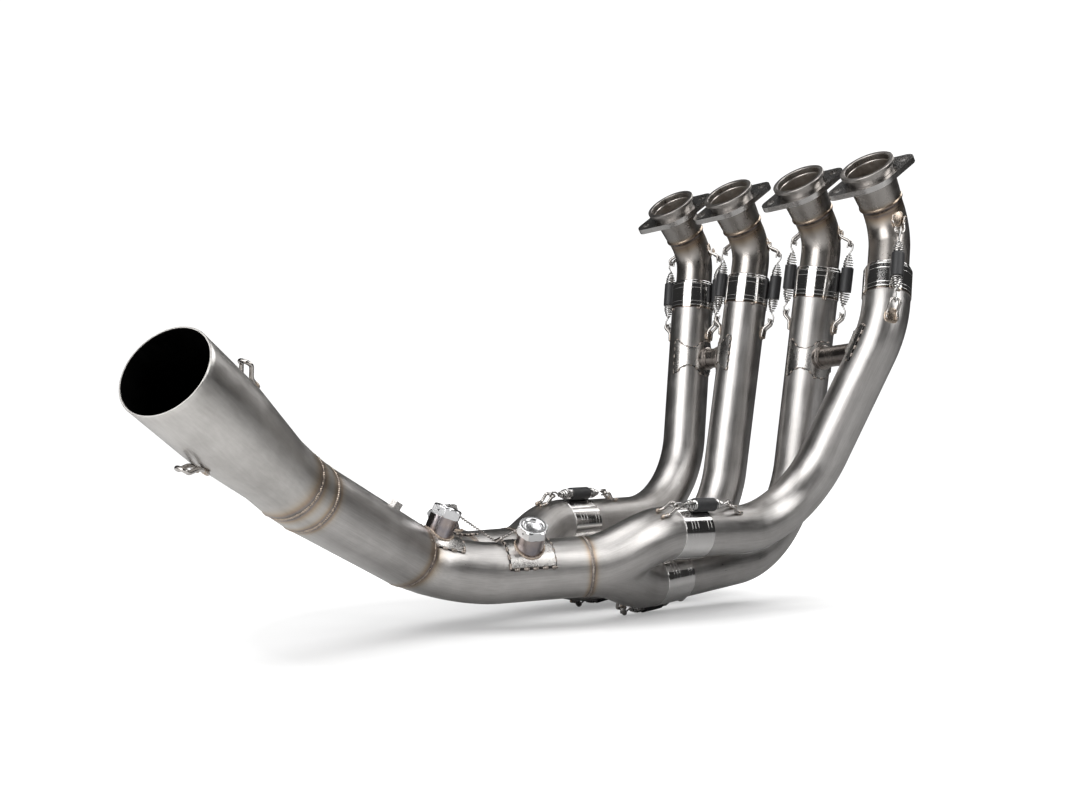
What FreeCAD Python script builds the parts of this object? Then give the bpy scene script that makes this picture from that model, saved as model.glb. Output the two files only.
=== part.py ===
import FreeCAD, Part
import math
import os

# Four-into-two-into-one exhaust header for an inline four-cylinder motorcycle.
# Millimetres. The origin is the centre of the first port ring's face.
# +X runs along the port row, +Y points to the front of the motorcycle, +Z is up.

V = FreeCAD.Vector

# Port row
port_tilt = math.radians(41.0)
port_x = [0.0, 76.0, 162.0, 238.0]
port_out = V(0, -math.sin(port_tilt), math.cos(port_tilt))
port_in = port_out.negative()
port_up = V(0, math.cos(port_tilt), math.sin(port_tilt))

lip_r = 26.35
lip_thick = 3.6
lip_bore_r = 22.0
lip_bore_length = 6.0
neck_r = 22.5
neck_end = 17.0
cone_end_r = 20.6
bead_at = 41.0
bead_r = 21.7
bead_width = 4.0
stub_r = 19.75
wall = 1.2
neck_extra_wall = 0.4
stub_run = 70.0
stub_bend_r = 45.0

lug_count = 4
lug_width = 7.0
lug_r = 25.4
lug_root = 1.0

flange_top = 10.6
flange_thick = 5.5
flange_body_r = 28.0
flange_fit = 0.4
ear_r = 9.5
ear_centre = 34.0
ear_turn = 38.0
ear_hole_r = 4.3

# Slip joints
primary_r = 22.5
joint_from_corner = [32.0, 32.5, 32.5, 48.0]
sleeve_length = 32.0
sleeve_over_pipe = 0.7
sleeve_r = primary_r + sleeve_over_pipe
sleeve_fit = 0.2
sleeve_step_r = 22.0
sleeve_step = 3.0
stub_insert = 26.0
sleeve_chamfer = 0.6
lower_sleeve_length = 38.0
lower_sleeve_wall = 1.5
lower_sleeve_r = primary_r + lower_sleeve_wall
lower_insert = 27.0
lower_chamfer = 0.8

# Corners of each primary pipe after the port corner, with the bend radius at each.
primary_corners = [
    [(V(3, 9, -341), 100)],
    [(V(53, 7, -367), 100)],
    [(V(119, 38, -375), 100)],
    [(V(249, 10, -156), 100), (V(163, -25, -348), 98)],
]
lower_joint = [V(3, -164, -345), V(39, -150, -390), V(114, -162, -391), V(150.5, -181, -348)]

# Springs
spring_stand = 29.7
spring_turn = [10.0, 20.0, 15.0, -46.0]
upper_eye_before = 41.5
upper_eye_after = 30.5
# Each spring at the collectors: turn from straight up, and how far its eyes lie from the joint.
lower_spring_turn = [-16.0, 148.0, 148.0, -36.0]
lower_eye_before = [39.0, 42.0, 38.0, 45.0]
lower_eye_after = [37.0, 30.0, 39.0, 26.0]
bar_r = 1.4
bar_half = 4.4
bracket_reach = 15.0
bracket_rise = 10.0
bracket_foot = 3.0
bracket_sink = 4.0
knee_lift = 2.0
shin_lift = 3.2
coil_r = 4.3
coil_tip_r = 3.3
coil_taper = 8.0
coil_end_gap = 10.0
hook_into_coil = 1.0
hook_wire_r = 0.9
damper_r = 5.7
damper_length = 25.0
damper_bore_r = 4.3

# Balance tubes
balance_r = 10.5
balance_wall = 1.2
balance_below_corner = [119.0, 127.0]
saddle_thick = 1.4
saddle_half_height = 18.0
saddle_waist = 9.5
saddle_scallop_r = 15.0
saddle_half_wrap = 96.0
saddle_scallop_at = 52.0
relief_r = 12.0
relief_above_foot = 8.0

# Collectors
secondary_r = 25.2
merge_r = 25.4
merge_share = 0.78
branch_inlet_step = 0.5
branch_sections = 6
ring_far = V(29, -279, -370)
ring_near = V(123, -281, -374)
leg_far_dir = V(10.5, -100.8, -1.4).normalize()
leg_near_dir = V(-51.2, -98.6, -4.8).normalize()
leg_far_run = 60.0
leg_near_run = 75.0
far_turn_keep = 0.6
far_turn_new = 0.9

# Tail
tail_corner = V(55.6, -409.8, -364.5)
tail_bend = V(102.0, -554.8, -307.5)
outlet_centre = V(156.4, -687.6, -234.0)
tail_r = 26.5
tail_start = 12.0
tail_overlap = 7.0
collar_half = 11.0
mitre_reach = 20.0
megaphone_r = 31.75
megaphone_cone_start = 36.0
megaphone_cone_end = 98.0
megaphone_wall = 1.5
outlet_eye_from_rim = 52.0
outlet_eye_stand = 8.0
outlet_eye_out = V(0.07, 0.50, 0.86)

# Sensor bungs, with the outward direction of each
near_bung_at = 52.0
near_bung_out = V(0.52, -0.27, 0.81)
bend_bung_share = 0.72
bend_bung_out = V(0.30, 0.32, 0.88)
far_bung_share = 0.15
far_bung_out = V(-0.31, -0.05, 0.92)
bung_r = 11.8
bung_bore_r = 8.0
bung_height = 15.0
bung_plate_along = 38.0
bung_plate_across = 36.0
weld_gap = 1.0
plug_flats = 23.0
plug_height = 8.0
plug_dish_r = 7.5
plug_dish_deep = 3.0
plug_shank = 12.0
wire_r = 0.7
crimp_r = 1.9
crimp_length = 7.0
crimp_sink = 1.3
crimp_after_knee = 3.0
crimp_out = V(0.30, 0.10, 0.95)
tab_size = V(9, 5, 5)
tab_from_corner = 58.0
tab_root = 2.0
tab_out = V(0.30, 0.35, 0.88)


def unit(v):
    return V(v).normalize()


def along(point, direction, distance):
    return point + unit(direction) * distance


def frame(direction, hint):
    """Axis, radial direction nearest the hint, and the direction square to both."""
    axis = unit(direction)
    radial = unit(hint - axis * hint.dot(axis))
    return axis, radial, axis.cross(radial)


def bent_wire(points, radii):
    """Straight runs joined by tangent arcs of the stated radii."""
    edges = []
    start = points[0]
    for i in range(1, len(points) - 1):
        corner = points[i]
        back = unit(points[i - 1] - corner)
        ahead = unit(points[i + 1] - corner)
        turn = math.pi - back.getAngle(ahead)
        reach = radii[i - 1] * math.tan(turn / 2)
        first = corner + back * reach
        last = corner + ahead * reach
        inward = unit(back + ahead)
        middle = corner + inward * (radii[i - 1] / math.cos(turn / 2) - radii[i - 1])
        edges.append(Part.makeLine(start, first))
        edges.append(Part.Arc(first, middle, last).toShape())
        start = last
    edges.append(Part.makeLine(start, points[-1]))
    return Part.Wire(edges)


def ring_wire(centre, direction, radius):
    return Part.Wire([Part.makeCircle(radius, centre, unit(direction))])


def sweep(path, radius, square_corners=False):
    """A round bar of the stated radius along a path."""
    first = path.OrderedEdges[0]
    start = first.valueAt(first.FirstParameter)
    heading = first.tangentAt(first.FirstParameter)
    profile = ring_wire(start, heading, radius)
    mode = 1 if square_corners else 0
    return path.makePipeShell([profile], True, False, mode)


def round_bar(start, end, radius):
    return Part.makeCylinder(radius, (end - start).Length, start, unit(end - start))


def turned(profile, centre, axis, hint):
    """Revolves (distance along the axis, radius) pairs about the axis."""
    main, radial, _ = frame(axis, hint)
    corners = [centre + main * s + radial * r for s, r in profile]
    face = Part.Face(Part.makePolygon(corners + [corners[0]]))
    return face.revolve(centre, main, 360)


def beyond(point, normal, size=400.0):
    """A block that fills the side of a plane that the normal points to."""
    axis, radial, side = frame(normal, V(0.31, 0.17, 0.93))
    corner = point - radial * size / 2 - side * size / 2
    face = Part.Face(Part.makePolygon([
        corner,
        corner + radial * size,
        corner + radial * size + side * size,
        corner + side * size,
        corner]))
    return face.extrude(axis * size)


def save(name, shape):
    shape.exportStep("parts/" + name + ".step")


# Head pipes
def port_corner(i):
    return along(V(port_x[i], 0, 0), port_in, stub_run)


def first_direction(i):
    return unit(primary_corners[i][0][0] - port_corner(i))


def sleeve_top(i):
    return along(port_corner(i), first_direction(i), joint_from_corner[i])


def head_path(i):
    start = along(V(port_x[i], 0, 0), port_in, bead_at + bead_width / 2)
    tip = along(sleeve_top(i), first_direction(i), stub_insert)
    return bent_wire([start, port_corner(i), tip], [stub_bend_r])


def port_ring(i):
    """Turned ring at the port: lip, groove with its lugs, cone, rolled bead and a short band."""
    centre = V(port_x[i], 0, 0)
    end = bead_at + bead_width / 2
    neck_bore_r = neck_r - wall - neck_extra_wall
    profile = [
        (0, lip_bore_r), (0, lip_r), (lip_thick, lip_r), (lip_thick, neck_r), (neck_end, neck_r),
        (bead_at - bead_width / 2, cone_end_r), (bead_at - bead_width / 4, bead_r),
        (bead_at + bead_width / 4, bead_r), (end, stub_r), (end, stub_r - wall),
        (neck_end, neck_bore_r), (lip_bore_length, lip_bore_r)]
    ring = turned(profile, centre, port_in, V(1, 0, 0))
    bore = turned(
        [(0, 0), (0, lip_bore_r), (lip_bore_length, lip_bore_r), (neck_end, neck_bore_r), (neck_end, 0)],
        centre, port_in, V(1, 0, 0))
    for k in range(lug_count):
        angle = math.radians(ear_turn + 45 + 360 * k / lug_count)
        radial = V(1, 0, 0) * math.cos(angle) + port_up * math.sin(angle)
        side = port_in.cross(radial)
        root = neck_r - lug_root
        base = along(centre, port_in, lip_thick) + radial * root - side * lug_width / 2
        face = Part.Face(Part.makePolygon([
            base,
            base + radial * (lug_r - root),
            base + radial * (lug_r - root) + side * lug_width,
            base + side * lug_width,
            base]))
        ring = ring.fuse(face.extrude(port_in * (flange_top - lip_thick)).cut(bore))
    return ring.removeSplitter()


def head_pipe(i):
    path = head_path(i)
    return sweep(path, stub_r).cut(sweep(path, stub_r - wall))


def port_flange(i):
    """Loose plate with two ears, drawn flat and set on the port axis."""
    lean = math.acos((flange_body_r - ear_r) / ear_centre)
    upper = V(math.cos(lean), math.sin(lean), 0)
    lower = V(math.cos(lean), -math.sin(lean), 0)
    body_up = upper * flange_body_r
    body_low = lower * flange_body_r
    ear_up = V(ear_centre, 0, 0) + upper * ear_r
    ear_low = V(ear_centre, 0, 0) + lower * ear_r
    outline = Part.Wire([
        Part.makeLine(body_up, ear_up),
        Part.Arc(ear_up, V(ear_centre + ear_r, 0, 0), ear_low).toShape(),
        Part.makeLine(ear_low, body_low),
        Part.Arc(body_low, V(0, -flange_body_r, 0), V(-body_low.x, body_low.y, 0)).toShape(),
        Part.makeLine(V(-body_low.x, body_low.y, 0), V(-ear_low.x, ear_low.y, 0)),
        Part.Arc(V(-ear_low.x, ear_low.y, 0), V(-ear_centre - ear_r, 0, 0),
                 V(-ear_up.x, ear_up.y, 0)).toShape(),
        Part.makeLine(V(-ear_up.x, ear_up.y, 0), V(-body_up.x, body_up.y, 0)),
        Part.Arc(V(-body_up.x, body_up.y, 0), V(0, flange_body_r, 0), body_up).toShape()])
    plate = Part.Face(outline).extrude(V(0, 0, flange_thick))
    plate = plate.cut(Part.makeCylinder(neck_r + flange_fit, flange_thick))
    for side in (-1, 1):
        plate = plate.cut(Part.makeCylinder(ear_hole_r, flange_thick, V(side * ear_centre, 0, 0)))
    plate.rotate(V(0, 0, 0), V(0, 0, 1), ear_turn)
    plate.rotate(V(0, 0, 0), V(1, 0, 0), math.degrees(port_tilt))
    plate.translate(along(V(port_x[i], 0, 0), port_in, flange_top + flange_thick))
    return plate


# Primaries
def slip_sleeve(i):
    down = first_direction(i)
    bore = stub_r + sleeve_fit
    profile = [
        (0, bore), (0, sleeve_step_r - sleeve_chamfer), (sleeve_chamfer, sleeve_step_r),
        (sleeve_step, sleeve_step_r), (sleeve_step, sleeve_r), (sleeve_length, sleeve_r),
        (sleeve_length, stub_r - wall),
        (stub_insert, stub_r - wall), (stub_insert, bore)]
    return turned(profile, sleeve_top(i), down, V(1, 0, 0))


def lower_direction(i):
    return unit(lower_joint[i] - primary_corners[i][-1][0])


def primary_path(i):
    start = along(sleeve_top(i), first_direction(i), sleeve_length)
    end = along(lower_joint[i], lower_direction(i), lower_insert - lower_sleeve_length / 2)
    points = [start] + [corner for corner, _ in primary_corners[i]] + [end]
    return bent_wire(points, [radius for _, radius in primary_corners[i]])


def primary_pipe(i):
    path = primary_path(i)
    return sweep(path, primary_r).cut(sweep(path, primary_r - wall))


def lower_sleeve(i):
    heading = lower_direction(i)
    start = along(lower_joint[i], heading, -lower_sleeve_length / 2)
    profile = [
        (0, primary_r), (0, lower_sleeve_r - lower_chamfer), (lower_chamfer, lower_sleeve_r),
        (lower_sleeve_length, lower_sleeve_r), (lower_sleeve_length, primary_r)]
    return turned(profile, start, heading, V(0, 0, 1))


# Collectors
def smooth_curve(start, start_dir, end, end_dir):
    curve = Part.BSplineCurve()
    pull = (end - start).Length
    curve.interpolate(Points=[start, end], InitialTangent=start_dir * pull,
                      FinalTangent=end_dir * pull)
    return curve


def branch_curve(i, ring, ring_dir):
    heading = lower_direction(i)
    start = along(lower_joint[i], heading, lower_sleeve_length / 2)
    return smooth_curve(start, heading, ring, ring_dir)


def branch(i, ring, ring_dir, inset):
    """Loft that turns one inlet into the shared round outlet."""
    curve = branch_curve(i, ring, ring_dir)
    sections = []
    inlet_r = lower_sleeve_r - branch_inlet_step
    for k in range(branch_sections):
        share = k / (branch_sections - 1)
        u = curve.FirstParameter + (curve.LastParameter - curve.FirstParameter) * share
        radius = inlet_r + (secondary_r - inlet_r) * share - inset
        sections.append(ring_wire(curve.value(u), curve.tangent(u)[0], radius))
    return Part.makeLoft(sections, True, False)


def collector(upper, lower, ring, ring_dir):
    solid = branch(upper, ring, ring_dir, 0).fuse(branch(lower, ring, ring_dir, 0))
    bore = branch(upper, ring, ring_dir, wall).fuse(branch(lower, ring, ring_dir, wall))
    return solid.cut(bore)


tail_dir = unit(tail_bend - tail_corner)
megaphone_dir = unit(outlet_centre - tail_bend)
tail_face = along(tail_corner, tail_dir, tail_start)


def near_path():
    """A straight leg, then a smooth bend that meets the tail tube."""
    knee = along(ring_near, leg_near_dir, leg_near_run)
    bend = smooth_curve(knee, leg_near_dir, tail_face, tail_dir).toShape()
    end = along(tail_face, tail_dir, tail_overlap)
    return Part.Wire([Part.makeLine(ring_near, knee), bend, Part.makeLine(tail_face, end)])


near_leg = near_path()
bend_edge = near_leg.OrderedEdges[1]


def on_bend(share):
    """Point and heading of the near pipe at a share of its bend."""
    u = bend_edge.FirstParameter + share * (bend_edge.LastParameter - bend_edge.FirstParameter)
    return bend_edge.valueAt(u), bend_edge.tangentAt(u)


def far_bend():
    knee = along(ring_far, leg_far_dir, leg_far_run)
    point, _ = on_bend(merge_share)
    turn = unit(leg_far_dir * far_turn_keep + (point - knee).normalize() * far_turn_new)
    return Part.Wire([smooth_curve(knee, leg_far_dir, point, turn).toShape()])


def on_far_bend(share):
    edge = far_bend().Edges[0]
    u = edge.FirstParameter + share * (edge.LastParameter - edge.FirstParameter)
    return edge.valueAt(u), edge.tangentAt(u)


def merge_pipe():
    near = sweep(near_leg, merge_r)
    far = sweep(far_bend(), secondary_r)
    bore = sweep(near_leg, merge_r - wall).fuse(sweep(far_bend(), secondary_r - wall))
    return near.fuse(far).cut(bore)


def secondary_pipe():
    end = along(ring_far, leg_far_dir, leg_far_run)
    return round_bar(ring_far, end, secondary_r).cut(round_bar(ring_far, end, secondary_r - wall))


# Tail
collar_start = along(tail_bend, tail_dir, -collar_half)
collar_end = along(tail_bend, megaphone_dir, collar_half)
collar_dir = unit(collar_end - collar_start)
first_mitre = unit(tail_dir + collar_dir)
second_mitre = unit(collar_dir + megaphone_dir)


def tail_shell(start, end, radius):
    return round_bar(start, end, radius).cut(round_bar(start, end, merge_r))


def tail_pipe():
    reach = along(collar_start, tail_dir, mitre_reach)
    return tail_shell(tail_face, reach, tail_r).cut(beyond(collar_start, first_mitre))


def collar():
    start = along(collar_start, collar_dir, -mitre_reach)
    end = along(collar_end, collar_dir, mitre_reach)
    shell = tail_shell(start, end, tail_r)
    shell = shell.cut(beyond(collar_start, first_mitre.negative()))
    return shell.cut(beyond(collar_end, second_mitre))


def megaphone():
    length = (outlet_centre - tail_bend).Length
    inner = merge_r
    outer = megaphone_r - megaphone_wall
    profile = [
        (-mitre_reach, inner), (-mitre_reach, tail_r), (megaphone_cone_start, tail_r),
        (megaphone_cone_end, megaphone_r), (length, megaphone_r), (length, outer),
        (megaphone_cone_end, outer), (megaphone_cone_start, inner)]
    shell = turned(profile, tail_bend, megaphone_dir, V(1, 0, 0))
    return shell.cut(beyond(collar_end, second_mitre.negative()))


# Springs
def wall_point(path, above, lift):
    """The point under the stated one that lies that far from the pipe's centreline."""
    centre = path.distToShape(Part.Vertex(above))[1][0][0]
    return along(centre, above - centre, lift)


def bracket(eye, axis, radial, path, surface, legs):
    """A wire eye on two legs. The legs run along the axis and down to the pipe's wall."""
    side = axis.cross(radial)
    run = axis * legs
    foot = wall_point(path, eye + run * (bracket_reach + bracket_foot), surface - bracket_sink)
    knee = wall_point(path, eye + run * bracket_reach, surface + knee_lift)
    shin = wall_point(path, eye + run * (bracket_reach - bracket_rise), surface + shin_lift)
    right = [foot + side * bar_half, knee + side * bar_half, shin + side * bar_half,
             eye + side * bar_half]
    left = [p - side * 2 * bar_half for p in reversed(right)]
    return sweep(Part.makePolygon(right + left), bar_r, True)


def spring(first_eye, second_eye, outward):
    """Barrel in place of the coil, and a hook over the bar at each end."""
    axis = unit(second_eye - first_eye)
    length = (second_eye - first_eye).Length
    start = coil_end_gap
    end = length - coil_end_gap
    profile = [
        (start, 0), (start, coil_tip_r), (start + coil_taper, coil_r),
        (end - coil_taper, coil_r), (end, coil_tip_r), (end, 0)]
    body = turned(profile, first_eye, axis, outward)
    _, radial, _ = frame(axis, outward)
    turn_r = bar_r + hook_wire_r
    for eye, way in ((first_eye, axis), (second_eye, axis.negative())):
        top = eye + radial * turn_r
        stem = Part.makeLine(top + way * (coil_end_gap + hook_into_coil), top)
        over = Part.Arc(top, eye - way * turn_r, eye - radial * turn_r).toShape()
        body = body.fuse(sweep(Part.Wire([stem, over]), hook_wire_r))
    return body


def damper(first_eye, second_eye):
    axis = unit(second_eye - first_eye)
    middle = (first_eye + second_eye) * 0.5
    start = along(middle, axis, -damper_length / 2)
    end = along(middle, axis, damper_length / 2)
    return round_bar(start, end, damper_r).cut(round_bar(start, end, damper_bore_r))


def upper_sites():
    """Axis, outward direction and both eyes of every spring at the port end."""
    sites = []
    for i in range(4):
        middle = along(sleeve_top(i), first_direction(i), sleeve_length / 2)
        for half_turn in (0, 180):
            angle = math.radians(spring_turn[i] + half_turn)
            axis, radial, _ = frame(first_direction(i), V(math.cos(angle), math.sin(angle), 0))
            base = middle + radial * spring_stand
            sites.append((i, axis, radial, base - axis * upper_eye_before,
                          base + axis * upper_eye_after))
    return sites


def lower_sites():
    sites = []
    for i in range(4):
        axis, radial, _ = frame(lower_direction(i), V(0, 0, 1))
        radial = FreeCAD.Rotation(axis, lower_spring_turn[i]).multVec(radial)
        base = lower_joint[i] + radial * (spring_stand + lower_sleeve_r - sleeve_r)
        sites.append((i, axis, radial, base - axis * lower_eye_before[i],
                      base + axis * lower_eye_after[i]))
    return sites


# Balance tubes
def balance_axis(left):
    return path_point(left), path_point(left + 1)


def path_point(i):
    """Centre of a primary pipe at the height of its balance tube."""
    pair = i // 2
    left = 2 * pair
    height = along(port_corner(left), first_direction(left), balance_below_corner[pair]).z
    box = Part.Face(Part.makePolygon([
        V(-300, -300, height), V(500, -300, height), V(500, 300, height), V(-300, 300, height),
        V(-300, -300, height)]))
    return box.distToShape(primary_path(i))[1][0][1]


def path_heading(i, point):
    """Direction of a primary pipe at a point of its centreline."""
    spot = Part.Vertex(point)
    edge = min(primary_path(i).Edges, key=lambda piece: piece.distToShape(spot)[0])
    return edge.tangentAt(edge.Curve.parameter(point))


def balance_tube(left):
    start, end = balance_axis(left)
    tube = round_bar(start, end, balance_r).cut(round_bar(start, end, balance_r - balance_wall))
    for i in (left, left + 1):
        tube = tube.cut(sweep(primary_path(i), primary_r))
    return tube


def balance_saddle(i):
    """Half wrap around a primary with scalloped edges, open for the balance tube."""
    left = 0 if i < 2 else 2
    start, end = balance_axis(left)
    here, there = (start, end) if i == left else (end, start)
    axis, radial, _ = frame(path_heading(i, here), there - here)
    band_r = primary_r + saddle_thick
    low = here - axis * saddle_half_height
    high = here + axis * saddle_half_height
    band = sweep(primary_path(i), band_r).common(round_bar(low, high, 2 * band_r))
    back = here - radial * band_r * math.cos(math.radians(180 - saddle_half_wrap))
    band = band.cut(beyond(back, radial.negative(), 120))
    for turn in (-saddle_scallop_at, saddle_scallop_at):
        for shift in (-1, 1):
            out = FreeCAD.Rotation(axis, turn).multVec(radial)
            centre = here + axis * shift * (saddle_waist + saddle_scallop_r)
            band = band.cut(round_bar(centre, centre + out * 2 * band_r, saddle_scallop_r))
    for pipe, run, _, _, eye in upper_sites():
        if pipe == i:
            spot = eye + run * (bracket_reach + bracket_foot - relief_above_foot)
            centre = primary_path(i).distToShape(Part.Vertex(spot))[1][0][0]
            band = band.cut(round_bar(centre, along(centre, spot - centre, 2 * band_r), relief_r))
    band = band.cut(sweep(primary_path(i), primary_r))
    return band.cut(round_bar(start, end, balance_r))


# Sensor bungs
bung_sites = [
    (along(ring_near, leg_near_dir, near_bung_at), leg_near_dir, near_bung_out),
    on_bend(bend_bung_share) + (bend_bung_out,),
    on_far_bend(far_bung_share) + (far_bung_out,),
]
leg_r = [merge_r, merge_r, secondary_r]


def leg_solid(k, extra=0.0):
    """The pipe under a bung as a full bar, with the stated skin added."""
    near = sweep(near_leg, merge_r + extra)
    if k == 0:
        return near
    return near.fuse(sweep(far_bend(), secondary_r + extra))


def bung(k):
    centre, heading, hint = bung_sites[k]
    _, out, _ = frame(heading, hint)
    top = centre + out * (leg_r[k] + bung_height)
    neck = round_bar(centre, top, bung_r).cut(round_bar(centre, top, bung_bore_r))
    return neck.cut(leg_solid(k))


def bung_plate(k):
    """Stiffening plate that follows the pipe around the foot of a bung."""
    centre, heading, hint = bung_sites[k]
    axis, out, side = frame(heading, hint)
    corner = centre - axis * bung_plate_along / 2 - side * bung_plate_across / 2
    foot = Part.Face(Part.makePolygon([
        corner,
        corner + axis * bung_plate_along,
        corner + axis * bung_plate_along + side * bung_plate_across,
        corner + side * bung_plate_across,
        corner]))
    block = foot.extrude(out * 2 * secondary_r)
    plate = leg_solid(k, saddle_thick).common(block).cut(leg_solid(k))
    plate = plate.cut(round_bar(tail_face, collar_start, tail_r + weld_gap))
    return plate.cut(round_bar(centre, centre + out * 2 * secondary_r, bung_r))


def bung_plug(k):
    centre, heading, hint = bung_sites[k]
    axis, out, side = frame(heading, hint)
    seat = centre + out * (leg_r[k] + bung_height)
    corner_r = plug_flats / 2 / math.cos(math.pi / 6)
    ring = []
    for j in range(7):
        angle = math.pi / 3 * j
        ring.append(seat + axis * corner_r * math.cos(angle) + side * corner_r * math.sin(angle))
    head = Part.Face(Part.makePolygon(ring)).extrude(out * plug_height)
    top = seat + out * plug_height
    head = head.cut(round_bar(top - out * plug_dish_deep, top, plug_dish_r))
    return head.fuse(round_bar(seat - out * plug_shank, seat, bung_bore_r))


def plug_side(k, towards):
    """Middle of the plug flat that faces the stated point."""
    centre, heading, hint = bung_sites[k]
    _, out, _ = frame(heading, hint)
    middle = centre + out * (leg_r[k] + bung_height + plug_height / 2)
    away = towards - middle
    away = unit(away - out * away.dot(out))
    return middle + away * plug_flats / 2


def lockwire():
    """Wire from the plug in the bend to the near plug, with a crimp on it."""
    near_centre = bung_sites[0][0]
    bend_centre = bung_sites[1][0]
    start = plug_side(1, near_centre)
    end = plug_side(0, bend_centre)
    _, out, _ = frame(leg_near_dir, crimp_out)
    below = along(ring_near, leg_near_dir, leg_near_run + crimp_after_knee)
    rest = below + out * (merge_r + crimp_sink)
    heading = unit(end - rest)
    crimp = round_bar(rest, rest + heading * crimp_length, crimp_r)
    wire = round_bar(start, rest, wire_r).fuse(round_bar(rest, end, wire_r)).fuse(crimp)
    return wire.cut(leg_solid(0)).cut([bung_plug(0), bung_plug(1)])


def tail_tab():
    axis, out, side = frame(tail_dir, tab_out)
    base = along(tail_corner, tail_dir, tab_from_corner) + out * (tail_r - tab_root)
    corner = base - axis * tab_size.x / 2 - side * tab_size.y / 2
    face = Part.Face(Part.makePolygon([
        corner,
        corner + axis * tab_size.x,
        corner + axis * tab_size.x + side * tab_size.y,
        corner + side * tab_size.y,
        corner]))
    tail = round_bar(tail_face, collar_start, tail_r)
    return face.extrude(out * (tab_size.z + tab_root)).cut(tail)


os.makedirs("parts", exist_ok=True)

for n in range(4):
    save("port_flange_%d" % (n + 1), port_flange(n))
    save("port_ring_%d" % (n + 1), port_ring(n))
    save("head_pipe_%d" % (n + 1), head_pipe(n))
    save("slip_sleeve_%d" % (n + 1), slip_sleeve(n))
    save("primary_pipe_%d" % (n + 1), primary_pipe(n))
    save("lower_sleeve_%d" % (n + 1), lower_sleeve(n))
    save("balance_saddle_%d" % (n + 1), balance_saddle(n))
save("balance_tube_left", balance_tube(0))
save("balance_tube_right", balance_tube(2))
save("collector_far", collector(0, 1, ring_far, leg_far_dir))
save("collector_near", collector(3, 2, ring_near, leg_near_dir))
save("secondary_pipe_far", secondary_pipe())
save("merge_pipe", merge_pipe())
save("tail_pipe", tail_pipe())
save("tail_collar", collar())
save("megaphone", megaphone())

head_side = []
pipe_side = []
coils = []
dampers = []
for n, axis, radial, first, second in upper_sites():
    stub = head_path(n)
    pipe = primary_path(n)
    head_side.append(bracket(first, axis, radial, stub, stub_r, -1).cut(sweep(stub, stub_r)))
    pipe_side.append(bracket(second, axis, radial, pipe, primary_r, 1).cut(sweep(pipe, primary_r)))
    coils.append(spring(first, second, radial))
    dampers.append(damper(first, second))
save("head_brackets", Part.makeCompound(head_side))
save("primary_brackets", Part.makeCompound(pipe_side))
save("upper_springs", Part.makeCompound(coils))
save("upper_dampers", Part.makeCompound(dampers))

pipe_side = []
collector_side = []
coils = []
dampers = []
for n, axis, radial, first, second in lower_sites():
    ring, ring_dir = (ring_far, leg_far_dir) if n < 2 else (ring_near, leg_near_dir)
    pipe = primary_path(n)
    inlet = Part.Wire([branch_curve(n, ring, ring_dir).toShape()])
    foot = bracket(second, axis, radial, inlet, secondary_r, 1).cut(branch(n, ring, ring_dir, 0))
    pipe_side.append(bracket(first, axis, radial, pipe, primary_r, -1).cut(sweep(pipe, primary_r)))
    collector_side.append(foot)
    coils.append(spring(first, second, radial))
    dampers.append(damper(first, second))
save("lower_pipe_brackets", Part.makeCompound(pipe_side))
save("collector_brackets", Part.makeCompound(collector_side))
save("lower_springs", Part.makeCompound(coils))
save("lower_dampers", Part.makeCompound(dampers))

for n, where in enumerate(("near", "bend", "far")):
    save("sensor_bung_" + where, bung(n))
    save("bung_plate_" + where, bung_plate(n))
save("bung_plugs", Part.makeCompound([bung_plug(n) for n in range(3)]))
save("lockwire", lockwire())
save("tail_tab", tail_tab())

outlet_loops = []
outlet_line = Part.Wire([Part.makeLine(tail_bend, outlet_centre)])
_, spread, _ = frame(megaphone_dir, outlet_eye_out)
for way in (1, -1):
    out = spread * way
    eye = along(outlet_centre, megaphone_dir, -outlet_eye_from_rim)
    eye = eye + out * (megaphone_r + outlet_eye_stand)
    wire = bracket(eye, megaphone_dir, out, outlet_line, megaphone_r, -1)
    outlet_loops.append(wire.cut(round_bar(tail_bend, outlet_centre, megaphone_r)))
save("outlet_loops", Part.makeCompound(outlet_loops))
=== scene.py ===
import math

import bmesh
import bpy
import numpy as np
from mathutils import Matrix, Quaternion, Vector


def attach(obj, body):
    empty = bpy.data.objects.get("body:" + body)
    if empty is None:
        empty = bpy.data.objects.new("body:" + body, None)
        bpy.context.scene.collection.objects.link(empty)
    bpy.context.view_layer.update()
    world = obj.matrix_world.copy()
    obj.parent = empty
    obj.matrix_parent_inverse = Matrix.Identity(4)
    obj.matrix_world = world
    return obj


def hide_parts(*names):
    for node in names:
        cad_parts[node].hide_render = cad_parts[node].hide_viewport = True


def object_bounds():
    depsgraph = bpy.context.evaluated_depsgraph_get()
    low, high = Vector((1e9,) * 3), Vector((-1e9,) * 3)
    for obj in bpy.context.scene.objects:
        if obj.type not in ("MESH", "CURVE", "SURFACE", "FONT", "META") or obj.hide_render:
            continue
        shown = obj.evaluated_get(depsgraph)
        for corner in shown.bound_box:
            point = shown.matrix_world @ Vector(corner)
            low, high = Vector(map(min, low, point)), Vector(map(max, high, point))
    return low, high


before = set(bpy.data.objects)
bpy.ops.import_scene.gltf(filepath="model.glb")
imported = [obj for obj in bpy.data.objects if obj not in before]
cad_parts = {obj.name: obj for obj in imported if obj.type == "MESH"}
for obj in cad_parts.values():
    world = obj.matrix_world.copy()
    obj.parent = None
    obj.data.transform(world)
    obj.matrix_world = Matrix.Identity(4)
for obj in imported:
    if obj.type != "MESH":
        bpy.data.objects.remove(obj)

# Looks of the exhaust header. Lengths are written in millimetres, as in the part's source, and every
# mesh is scaled to metres when it is made.
cad_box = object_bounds()
MM = 0.001


def V(x, y, z):
    return Vector((x, y, z))


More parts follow.
